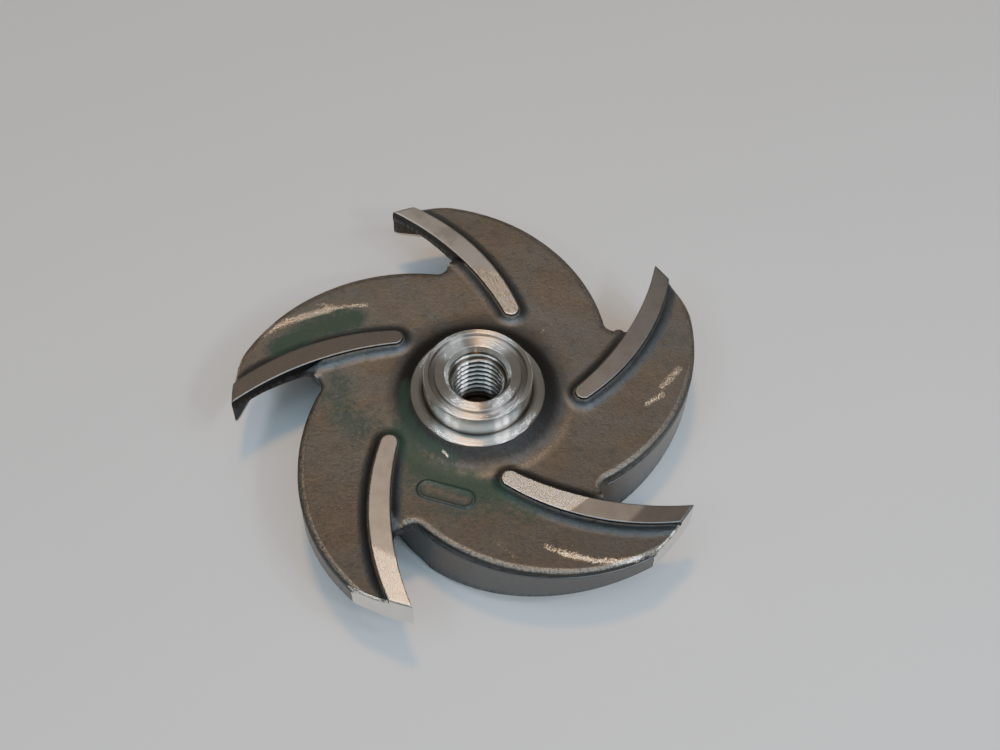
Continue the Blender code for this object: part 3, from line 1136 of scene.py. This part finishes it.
@dataclass
class Hub:
    """Turned hub with its ledge, face groove and threaded blind bore.

    Attributes:
        levels: Heights.
        radius: Radius of the cylinder.
        ledge_r: Radius of the ledge.
        groove: Inner and outer radius of the face groove.
        groove_deep: Depth of the groove.
        mouth: Radius and depth of the chamfer, then of the counterbore.
        thread: Core radius, outer radius and pitch of the thread.
        bore_deep: Depth of the full bore.
        point_deep: Depth of the drill point below it.
        sleeve_r: Radius of the sleeve round the bore, inside the casting.
        sleeve_low: Height of the sleeve's lower end.
        steps: Steps round the turn.
    """

    levels: Levels
    radius: float = 17.6
    ledge_r: float = 21.8
    groove: Point = (13.85, 15.95)
    groove_deep: float = 1.7
    mouth: tuple[float, float, float, float] = (10.8, 1.6, 9.6, 3.2)
    thread: Triple = (8.15, 9.53, 2.54)
    bore_deep: float = 27.0
    point_deep: float = 2.5
    sleeve_r: float = 10.75
    sleeve_low: float = 6.4
    steps: int = 240

    def outside(self) -> Array:
        """Turned profile from under the sleeve up the outside to the lip.

        Returns:
            Rows of radius and height.
        """
        top, ledge, back = self.levels.hub, self.levels.ledge, self.levels.shroud
        wide, slim, mouth = self.ledge_r, self.radius, self.mouth[0]
        near, far = self.groove
        floor = top - self.groove_deep
        sleeve = [(0.0, self.sleeve_low), (self.sleeve_r, self.sleeve_low), (self.sleeve_r, back - 2.5)]
        foot = [
            (wide - 0.6, back - 2.5), (wide - 0.6, back + 1.2), (wide, back + 1.25), (wide, ledge - 0.45),
            (wide - 0.06, ledge - 0.3), (wide - 0.4, ledge - 0.02), (wide - 0.5, ledge),
            (0.5 * (wide + slim), ledge), (slim + 0.34, ledge), (slim + 0.28, ledge - 0.2),
            (slim + 0.05, ledge - 0.24),
        ]
        cylinder = [
            (slim, ledge - 0.1), (slim, ledge + 0.2), (slim, 0.5 * (ledge + top)), (slim, top - 0.42),
            (slim - 0.04, top - 0.36), (slim - 0.36, top - 0.03), (slim - 0.42, top),
        ]
        groove = [
            (far + 0.1, top), (far + 0.02, top - 0.03), (far, top - 0.12), (far, floor + 0.25),
            (far - 0.07, floor + 0.06), (far - 0.25, floor), (near + 0.25, floor),
            (near + 0.07, floor + 0.06), (near, floor + 0.25), (near, top - 0.14),
            (near - 0.03, top - 0.04), (near - 0.14, top),
        ]
        lip = [(0.5 * (near + mouth), top), (mouth + 0.06, top)]
        return np.array(sleeve + foot + cylinder + groove + lip)

    def _turn(self) -> Array:
        """Angles of the steps round the turn, as one row."""
        return np.linspace(0.0, TURN, self.steps + 1)[None]

    def inside(self) -> tuple[Array, Array]:
        """Bore from its mouth down: rows of radius over the turn, and their heights.

        The radius is the larger of two: the turned mouth, a chamfer, a counterbore and a lead-in
        cone, and the thread, a triangle wave cut off at crest and root whose phase follows height
        and turn together.

        Returns:
            Radii, rows by steps, and heights of the rows.
        """
        top = self.levels.hub
        chamfer_r, chamfer, counter_r, counter = self.mouth
        core, outer, pitch = self.thread
        lead = (counter_r - core) * 0.62
        bottom = self.bore_deep
        deep = np.concatenate([[0.04, chamfer - 0.05, chamfer, chamfer + 0.08, 2.4, counter - 0.06, counter],
                               np.arange(counter + 0.12, bottom - 0.3, 0.15), [bottom - 0.1, bottom]])
        mouth = np.interp(deep, [0.0, chamfer, counter, counter + lead], [chamfer_r, counter_r, counter_r, core])
        phase = (deep[:, None] / pitch - self._turn() / TURN + 0.62) % 1.0
        wave = np.abs(2.0 * phase - 1.0)
        cut = (outer - core) * np.clip((wave - 0.16) / 0.7, 0.0, 1.0)
        starts = smooth_step(deep, counter + 0.05, counter + 0.1)
        active = starts * (1.0 - smooth_step(deep, bottom - 3.0, bottom - 1.5))
        return np.maximum(mouth[:, None], core + cut * active[:, None]), top - deep

    def piece(self) -> bpy.types.Object:
        """Builds the hub as one turned body with the thread cut into its bore.

        The groove, the corner at the ledge, the ledge's wall, the thread's valleys and the depth
        of the bore are marked as dark, which paints shade into them.

        Returns:
            The hub.
        """
        work = Patchwork("hub", ("dark",), 28.0)
        turn = self._turn()
        shell = held(self.outside())
        outside = polar(shell[:, :1], turn, shell[:, 1:])
        radius, height = self.inside()
        bore = polar(radius, turn, height[:, None])
        core = self.thread[0]
        floor_r = np.array([core, 4.0, 0.0])
        floor_z = self.levels.hub - self.bore_deep - self.point_deep * (1.0 - floor_r / core)
        floor = polar(floor_r[:, None], turn, floor_z[:, None])
        r, down, low = shell[:, :1], self.levels.hub - shell[:, 1:], self.levels.ledge - shell[:, 1:]
        groove = (r > self.groove[0] - 0.05) & (r < self.groove[1] + 0.05) & (down > 0.3)
        corner = (r < self.radius + 0.4) & (low > -0.12) & (low < 1.0)
        wall = (r > self.ledge_r - 0.1) & (low > 0.35)
        # Painted shade in the groove, the corner at the ledge and the ledge's wall.
        work.grid(outside, Finish.TURNED, dark=0.4 * groove + 0.8 * corner + 0.8 * wall)
        work.grid(np.concatenate([outside[-1:], bore[:1]]), Finish.TURNED)
        depth = (self.levels.hub - height)[:, None]
        valley = 0.9 * np.clip((radius - core - 0.1) / 0.6, 0.0, 1.0) * smooth_step(depth, 3.2, 3.5)
        # Painted shade in the thread's valleys and deep in the bore.
        work.grid(bore, Finish.TURNED, dark=np.maximum(smooth_step(depth, 15.0, 26.0), valley))
        work.grid(np.concatenate([bore[-1:], floor]), Finish.TURNED, dark=1.0)
        return work.build()


@dataclass
class Pad:
    """Raised oval pad on the back, with a border round its sunk middle.

    Attributes:
        levels: Heights.
        wear: Marks on the back.
        x: Middle of the pad along X.
        y: Middle of the pad along Y.
        turn: Angle of its long axis.
        length: Length over the round ends.
        width: Width.
        high: Height of its border above the back.
    """

    levels: Levels
    wear: Wear = Wear()
    x: float = -9.6
    y: float = -37.4
    turn: float = math.radians(-17.0)
    length: float = 18.6
    width: float = 6.6
    high: float = 0.5

    def piece(self) -> bpy.types.Object:
        """Builds the pad from rings that step in from its foot: fillet, wall, border and sunk middle.

        Each ring is two half circles, moved apart along the pad by its straight stretch.

        Returns:
            The pad.
        """
        work = Patchwork("marking_pad", ("paint", "rub", "foot", "edge"), 60.0)
        t = np.linspace(0.0, TURN, 121)[None]
        half = 0.5 * (self.length - self.width)
        inset = np.array([-0.9, -0.9, -0.35, 0.0, 0.12, 0.35, 0.6, 0.8, 1.1, 2.2, 3.1])
        share = np.array([-1.6, -0.12, 0.04, 0.44, 0.84, 1.0, 0.96, 0.68, 0.52, 0.52, 0.52])
        reach = 0.5 * self.width - inset[:, None]
        shift = half * np.sign(np.cos(t)) * (np.abs(np.cos(t)) > 1e-9)
        u, v = shift + reach * np.cos(t), reach * np.sin(t)
        c, s = math.cos(self.turn), math.sin(self.turn)
        z = np.broadcast_to((self.levels.shroud + share * self.high)[:, None], u.shape)
        rings = np.stack([self.x + c * u - s * v, self.y + s * u + c * v, z], -1)
        work.grid(rings, Finish.CAST, paint=self.wear.lay(rings, self.wear.paint))
        work.cap(rings[0, :-1], Finish.CAST)
        work.cap(rings[-1, :-1], Finish.CAST)
        return work.build()


@dataclass(frozen=True)
class Shade:
    """One value in a shader tree; arithmetic on it adds Math nodes.

    Attributes:
        tree: The tree that it belongs to.
        socket: The output socket that gives it.
    """

    tree: "Tree"
    socket: bpy.types.NodeSocket

    def _math(self, operation: str, *values: "Shade | float") -> "Shade":
        """Adds one Math node on the given values."""
        return self.tree.add("ShaderNodeMath", {"operation": operation}, dict(enumerate(values)))

    def __add__(self, other: "Shade | float") -> "Shade":
        """Sum."""
        return self._math("ADD", self, other)

    def __sub__(self, other: "Shade | float") -> "Shade":
        """Difference."""
        return self._math("SUBTRACT", self, other)

    def __rsub__(self, other: "Shade | float") -> "Shade":
        """Difference from a number."""
        return self._math("SUBTRACT", other, self)

    def __mul__(self, other: "Shade | float") -> "Shade":
        """Product."""
        return self._math("MULTIPLY", self, other)

    __radd__ = __add__
    __rmul__ = __mul__

    def most(self, other: "Shade | float") -> "Shade":
        """Larger of two."""
        return self._math("MAXIMUM", self, other)

    def root(self) -> "Shade":
        """Square root."""
        return self._math("SQRT", self)

    def step(self, low: float, high: float) -> "Shade":
        """Smooth step from 0 at low to 1 at high."""
        return self.tree.add("ShaderNodeMapRange", {"interpolation_type": "SMOOTHSTEP"},
                             {"Value": self, "From Min": low, "From Max": high})


class Tree:
    """A material's node tree with the few helpers that the finishes share."""

    def __init__(self, name: str) -> None:
        """Makes a new material whose patterns read the place on the object in millimetres.

        Args:
            name: Name of the material.
        """
        self.material = bpy.data.materials.new(name)
        self.material.use_nodes = True
        self.tree = self.material.node_tree
        self.shader = self.tree.nodes["Principled BSDF"]
        place = self.add("ShaderNodeTexCoord", output="Object")
        self.place = self.add("ShaderNodeVectorMath", {"operation": "SCALE"}, {0: place, "Scale": 1.0 / MM})

    def add(self, kind: str, settings: dict | None = None, values: dict | None = None,
            output: str | int = 0) -> Shade:
        """Adds a node.

        Args:
            kind: Node type.
            settings: Properties of the node, such as a Math node's operation, set first.
            values: Socket values or links, by name or number.
            output: Socket that is handed back.

        Returns:
            The wrapped output.
        """
        node = self.tree.nodes.new(kind)
        for key, value in (settings or {}).items():
            setattr(node, key, value)
        for key, value in (values or {}).items():
            if isinstance(value, Shade):
                self.tree.links.new(value.socket, node.inputs[key])
            else:
                node.inputs[key].default_value = value
        return Shade(self, node.outputs[output])

    def axis(self, name: str) -> Shade:
        """Place along X, Y or Z in millimetres."""
        return self.add("ShaderNodeSeparateXYZ", None, {0: self.place}, name)

    def noise(self, size: float, detail: float, rough: float, place: Shade | None = None,
              warp: float = 0.0) -> Shade:
        """Noise from 0 to 1.

        Args:
            size: Rough width of its blotches, in millimetres.
            detail: Number of finer layers.
            rough: Strength of the finer layers.
            place: Place that it reads, if not the plain one.
            warp: How far the blotches are drawn out of shape.

        Returns:
            The noise.
        """
        return self.add("ShaderNodeTexNoise", None, {"Vector": place or self.place, "Scale": 1.0 / size,
                                                     "Detail": detail, "Roughness": rough, "Distortion": warp})

    def stretched(self, scale: Triple, degrees: float) -> Shade:
        """Place turned about Z and scaled, for strokes along one direction.

        Args:
            scale: How many times longer the pattern is along each axis.
            degrees: Turn about Z.

        Returns:
            The place.
        """
        return self.add("ShaderNodeMapping", {"vector_type": "TEXTURE"},
                        {"Vector": self.place, "Rotation": (0.0, 0.0, math.radians(degrees)), "Scale": scale})

    def mask(self, name: str) -> Shade:
        """A point attribute of the piece."""
        return self.add("ShaderNodeAttribute", {"attribute_name": name}, output="Fac")

    def mix(self, share: Shade, first: Shade | Colour, second: Shade | Colour) -> Shade:
        """Colour between two by a share."""
        return self.add("ShaderNodeMix", {"data_type": "RGBA"}, {0: share, 6: first, 7: second}, output=2)

    def blend(self, share: Shade, first: Shade | float, second: Shade | float) -> Shade:
        """Number between two by a share."""
        return self.add("ShaderNodeMix", {"data_type": "FLOAT"}, {0: share, 2: first, 3: second})

    def finish(self, constants: dict[str, float], links: dict[str, Shade],
               relief: Shade | None = None, height: float = 0.0) -> bpy.types.Material:
        """Sets the shader's sockets.

        Args:
            constants: Plain socket values.
            links: Values that change over the surface.
            relief: Height of the fine relief, from 0 to 1.
            height: Height in millimetres of a relief of 1.

        Returns:
            The material.
        """
        for key, value in constants.items():
            self.shader.inputs[key].default_value = value
        if relief is not None:
            bump = self.add("ShaderNodeBump", None, {"Height": relief, "Distance": height * MM, "Strength": 1.0})
            links = {**links, "Normal": bump}
        for key, value in links.items():
            self.tree.links.new(value.socket, self.shader.inputs[key])
        return self.material


@dataclass(frozen=True)
class CastFinish:
    """Shot-blasted casting: grey metal with a fine grain, stains, paint remains and rubbed strokes.

    Attributes:
        metal: Main colour.
        warm: Colour of the browner blotches.
        dull: Colour of stains.
        painted_shade: Painted shade in fillets, on walls and on the near, -Y half.
        smooth: Colour of the smooth vane walls.
        worn_and_sheen: Colour of rounded edges and of the ring at the hub's foot, lightened for wear and as
            painted highlight.
        paint: Colour of the paint remains.
        bright: Colour of rubbed metal.
        rough: Roughness of the blasted metal.
    """

    metal: Colour = (0.150, 0.160, 0.165, 1.0)
    warm: Colour = (0.165, 0.155, 0.138, 1.0)
    dull: Colour = (0.094, 0.092, 0.088, 1.0)
    painted_shade: Colour = (0.036, 0.035, 0.033, 1.0)
    smooth: Colour = (0.25, 0.238, 0.222, 1.0)
    worn_and_sheen: Colour = (0.33, 0.28, 0.22, 1.0)
    paint: Colour = (0.016, 0.046, 0.028, 1.0)
    bright: Colour = (0.86, 0.79, 0.67, 1.0)
    rough: float = 0.52

    def material(self) -> bpy.types.Material:
        """Lays the casting's colours over each other: blotches, painted shade, lightened edges, paint and rubs.

        Returns:
            The material.
        """
        t = Tree("blasted_casting")
        grain = t.noise(0.4, 2.0, 0.6)
        coarse = t.noise(1.2, 3.0, 0.6)
        blotch = t.noise(15.0, 4.0, 0.55, warp=0.6)
        fine = t.noise(3.2, 3.0, 0.6)
        speck = t.noise(0.9, 2.0, 0.7).step(0.60, 0.70)
        even = t.mask("smooth")
        foot, edge = t.mask("foot"), t.mask("edge")
        colour = t.mix(blotch.step(0.36, 0.66), self.metal, self.warm)
        colour = t.mix(fine.step(0.45, 0.75) * 0.4, colour, self.dull)
        colour = t.mix(speck * 0.3, colour, self.dull)
        colour = t.mix(even, colour, self.smooth)
        # Painted shade: the foot mask darkens the fillets and the walls under edges.
        colour = t.mix((foot + (coarse - 0.5) * 0.5).step(0.1, 1.1) * 0.85, colour, self.painted_shade)
        chip = t.mask("paint") + (fine - 0.5) * 0.9 + (coarse - 0.5) * 0.9 + (grain - 0.5) * 0.8
        scratchy = t.noise(0.5, 2.0, 0.7, place=t.stretched((3.0, 0.6, 1.0), 25.0))
        rub = (t.mask("rub") + (scratchy - 0.5) * 2.0 + (grain - 0.5) * 2.4 - 0.1).step(0.4, 1.0)
        rub = rub * t.mask("rub").step(0.05, 0.35)
        paint = chip.step(0.15, 1.05) * (1.0 - rub) * 0.9
        # Painted shade: the metal darkens towards -Y, the near half.
        north = t.axis("Y").step(-75.0, 45.0)
        colour = t.mix((1.0 - north) * 0.55, colour, self.painted_shade)
        # Wear and painted highlight: rounded edges and the ring at the hub's foot are lightened.
        shine = (edge * (0.55 + (grain - 0.5) * 2.2 + (coarse - 0.5) * 1.2)).step(0.05, 1.0)
        colour = t.mix(shine * (1.0 - foot), colour, self.worn_and_sheen)
        colour = t.mix(paint, colour, self.paint)
        colour = t.mix(rub * (0.75 + (grain - 0.5) * 1.8), colour, self.bright)
        rough = t.blend(rub, self.rough + (coarse - 0.5) * 0.22 - even * 0.08, 0.27)
        relief = (grain * 0.8 + coarse * 0.9 - speck * 0.25) * (1.0 - even * 0.85)
        return t.finish({}, {"Base Color": colour, "Roughness": rough, "Metallic": 1.0 - paint}, relief, 0.10)


@dataclass(frozen=True)
class MilledFinish:
    """Flat milled rib tops: satin metal with faint cutter marks, and bright hand-ground zones.

    Attributes:
        metal: Colour of the milled metal.
        dark: Colour of the ribs with a darker tone.
        stain: Colour of its stains.
        bright: Colour of freshly ground metal.
        silver: Colour of ground metal on the ribs with a darker tone.
    """

    metal: Colour = (0.45, 0.47, 0.49, 1.0)
    dark: Colour = (0.078, 0.084, 0.092, 1.0)
    stain: Colour = (0.12, 0.12, 0.115, 1.0)
    bright: Colour = (0.80, 0.71, 0.58, 1.0)
    silver: Colour = (0.42, 0.44, 0.45, 1.0)

    def material(self) -> bpy.types.Material:
        """Goes from dark to light metal by the rib's tone, then adds stains and ground zones.

        Returns:
            The material.
        """
        t = Tree("milled_rib_top")
        tone = t.mask("tone")
        cutter = t.noise(0.4, 2.0, 0.6, place=t.stretched((6.0, 0.5, 1.0), 35.0))
        blotch = t.noise(6.0, 3.0, 0.6)
        strokes = t.noise(0.5, 2.0, 0.7, place=t.stretched((4.0, 0.35, 1.0), -62.0))
        ground = (t.mask("ground") * 1.4 + (strokes - 0.5) * 0.7 + (blotch - 0.5) * 0.5 - 0.3).step(0.2, 0.7)
        ground = ground * t.mask("ground").step(0.01, 0.1)
        bare = ground.most(t.mask("edge") * (0.45 + (strokes - 0.5) * 0.9))
        fresh = t.mix(tone.step(0.32, 0.44), self.silver, self.bright)
        colour = t.mix(tone + (strokes - 0.5) * 0.15, self.dark, self.metal)
        colour = t.mix(blotch.step(0.42, 0.7) * 0.35, colour, self.stain)
        colour = t.mix(bare * (0.8 + (strokes - 0.5) * 0.8), colour, fresh)
        rough = t.blend(ground, 0.42 + (cutter - 0.5) * 0.2, 0.30 + (strokes - 0.5) * 0.3)
        relief = cutter * 0.25 + strokes * ground * 1.6
        return t.finish({"Metallic": 1.0}, {"Base Color": colour, "Roughness": rough}, relief, 0.03)


@dataclass(frozen=True)
class TurnedFinish:
    """Lathe-turned metal: bright, with fine rings that draw highlights out across them.

    Attributes:
        metal: Colour of the metal.
        smeared: Colour under finger marks.
        recess_shade: Painted shade deep in the bore, in the groove and in corners.
        rough: Roughness of the metal.
        rings: Number of turning marks to a millimetre.
    """

    metal: Colour = (0.76, 0.72, 0.655, 1.0)
    smeared: Colour = (0.50, 0.465, 0.41, 1.0)
    recess_shade: Colour = (0.07, 0.04, 0.022, 1.0)
    rough: float = 0.17
    rings: float = 5.0

    def material(self) -> bpy.types.Material:
        """Draws the turning marks as noise that changes only with radius and height.

        Returns:
            The material.
        """
        t = Tree("turned_metal")
        x, y, z = t.axis("X"), t.axis("Y"), t.axis("Z")
        reach = (x * x + y * y).root()
        lathe = t.add("ShaderNodeCombineXYZ", None, {0: reach * self.rings, 1: z * self.rings, 2: 0.0})
        rings = t.noise(1.0, 3.0, 0.7, place=lathe)
        smear = t.noise(5.0, 3.0, 0.6)
        deep = t.mask("dark")
        colour = t.mix(smear.step(0.4, 0.8) * 0.35, self.metal, self.smeared)
        # Painted shade through the dark mask.
        colour = t.mix(deep, colour, self.recess_shade)
        rough = self.rough + (rings - 0.5) * 0.10 + deep * 0.25
        constants = {"Metallic": 1.0, "Anisotropic": 1.0, "Anisotropic Rotation": 0.25}
        return t.finish(constants, {"Base Color": colour, "Roughness": rough}, rings, 0.012)


class Tint(Enum):
    """Tints of the lamps."""

    COOL = (0.52, 0.78, 1.0)
    WHITE = (0.76, 0.85, 1.0)
    WARM = (1.0, 0.56, 0.19)


@dataclass(frozen=True)
class Lamp:
    """One area light that faces the hub.

    Attributes:
        name: Name of the light.
        at: Place in metres.
        size: Width and length in metres.
        power: Power in watts.
        tint: Colour of the light.
    """

    name: str
    at: Triple
    size: Point
    power: float
    tint: Tint = Tint.WHITE

    def hang(self) -> None:
        """Hangs the light, turned so that it looks at a point low in the hub."""
        data = bpy.data.lights.new(self.name, "AREA")
        data.shape = "RECTANGLE"
        data.size, data.size_y = self.size
        data.energy = self.power
        data.color = self.tint.value
        lamp = bpy.data.objects.new(self.name, data)
        bpy.context.scene.collection.objects.link(lamp)
        lamp.location = self.at
        x, y, z = np.array([0.0, 0.0, 0.02]) - np.array(self.at)
        lamp.rotation_mode = "XYZ"
        lamp.rotation_euler = (math.atan2(math.hypot(x, y), -z), 0.0, math.atan2(y, x) - 0.5 * math.pi)


@dataclass(frozen=True)
class Studio:
    """Plain pale floor, soft lights and the camera.

    Attributes:
        levels: Heights.
        eye: Place of the camera over the shroud's back, in millimetres.
        tilt: Turns of the camera about X, Y and Z in degrees, in that order outwards.
        lens: Focal length.
        sensor: Width of the sensor.
        floor_tone: Colour of the floor.
        floor_far_shade: Darker colour towards +Y, painted shade for the lamps' falloff.
        floor_half: Half the width of the floor, in metres.
        floor_low: Height of the floor in metres, just clear of the nose.
        sky: Brightness of the room.
        wall: Colour of the room.
        lamps: Soft lights overhead and at the sides, and narrow ones for the turned hub.
    """

    levels: Levels
    eye: Triple = (0.0, -272.70, 429.12)
    tilt: Triple = (33.132, -0.814, 0.566)
    lens: float = 56.2
    sensor: float = 36.0
    floor_tone: Colour = (0.85, 0.85, 0.84, 1.0)
    floor_far_shade: Colour = (0.70, 0.695, 0.68, 1.0)
    floor_half: float = 3.0
    floor_low: float = -0.00005
    sky: float = 0.15
    wall: Colour = (1.0, 0.96, 0.90, 1.0)
    lamps: tuple[Lamp, ...] = (
        Lamp("ceiling", (0.0, -0.5, 1.6), (2.6, 1.7), 18.0, Tint.COOL),
        Lamp("warm_over", (-0.075, 0.24, 1.2), (0.15, 0.15), 4.6, Tint.WARM),
        Lamp("right_near", (0.34, -0.39, 0.6), (0.075, 0.075), 0.8),
        Lamp("right_mid", (0.37, -0.215, 0.6), (0.075, 0.075), 0.65),
        Lamp("right_far", (1.26, -0.36, 1.2), (0.25, 0.25), 1.4),
        Lamp("left_mid", (-0.60, -0.24, 1.2), (0.15, 0.15), 0.7),
        Lamp("left_near", (-0.66, -0.72, 1.2), (0.15, 0.15), 1.0),
        Lamp("streak_left", (-0.113, 0.537, 1.2), (0.02, 0.02), 0.20),
        Lamp("streak_mid", (-0.057, 0.515, 1.2), (0.02, 0.02), 0.16),
        Lamp("streak_right", (0.122, 0.542, 1.2), (0.02, 0.02), 0.18),
        Lamp("streak_far", (0.177, 0.581, 1.2), (0.02, 0.02), 0.12),
    )

    def camera(self) -> None:
        """Sets the camera where the photograph was taken."""
        data = bpy.data.cameras.new("camera")
        data.lens = self.lens
        data.sensor_width = self.sensor
        data.clip_start = 0.01
        data.clip_end = 20.0
        camera = bpy.data.objects.new("camera", data)
        bpy.context.scene.collection.objects.link(camera)
        x, y, z = self.eye
        camera.location = (x * MM, y * MM, (z + self.levels.shroud) * MM)
        camera.rotation_mode = "ZYX"
        camera.rotation_euler = [math.radians(v) for v in self.tilt]
        bpy.context.scene.camera = camera

    def floor(self) -> None:
        """Lays a matt pale floor under the vanes, a flat grid painted darker towards +Y as painted shade."""
        mesh = bpy.data.meshes.new("floor")
        side = np.linspace(-self.floor_half, self.floor_half, 9)
        x, y = np.meshgrid(side, side)
        points = np.stack([x, y, np.full_like(x, self.floor_low)], -1)
        mesh.from_pydata(points.reshape(-1, 3).tolist(), [], quads(9, 9).tolist())
        floor = bpy.data.objects.new("floor", mesh)
        bpy.context.scene.collection.objects.link(floor)
        t = Tree("floor")
        cloud = t.noise(90.0, 3.0, 0.5)
        # Painted light falloff: lighter towards -Y and +X, darker towards +Y and -X.
        near = (t.axis("X") * 0.3 - t.axis("Y") * 0.9 + (cloud - 0.5) * 60.0).step(-260.0, 170.0)
        colour = t.mix(near, self.floor_far_shade, self.floor_tone)
        mesh.materials.append(t.finish({"Roughness": 0.6}, {"Base Color": colour}))

    def lights(self) -> None:
        """Lights the room and hangs the lamps."""
        world = bpy.data.worlds.new("room")
        world.use_nodes = True
        room = world.node_tree.nodes["Background"]
        room.inputs["Color"].default_value = self.wall
        room.inputs["Strength"].default_value = self.sky
        bpy.context.scene.world = world
        for lamp in self.lamps:
            lamp.hang()


def main() -> None:
    """Builds every form of the impeller, dresses it and sets the studio."""
    logging.basicConfig(level=logging.INFO, format="%(name)s: %(message)s")
    low, high = CAD_BOX
    levels = Levels(hub=high.z / MM)
    plan = Plan(rim=-low.x / MM)
    finishes = [CastFinish().material(), MilledFinish().material(), TurnedFinish().material()]
    casting = Casting(plan, levels)
    pieces = [casting.back_piece(), casting.front_piece(), Hub(levels).piece(), Pad(levels).piece()]
    for forms in (Ribs(plan, levels), Vanes(plan, levels)):
        pieces.extend(forms.piece(k) for k in range(PETALS))
    for piece in pieces:
        for material in finishes:
            piece.data.materials.append(material)
        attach(piece, "root")
        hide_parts(NODE)
        LOG.info("dressed %s", piece.name)
    studio = Studio(levels)
    studio.floor()
    studio.lights()
    studio.camera()


if __name__ == "__main__":
    main()
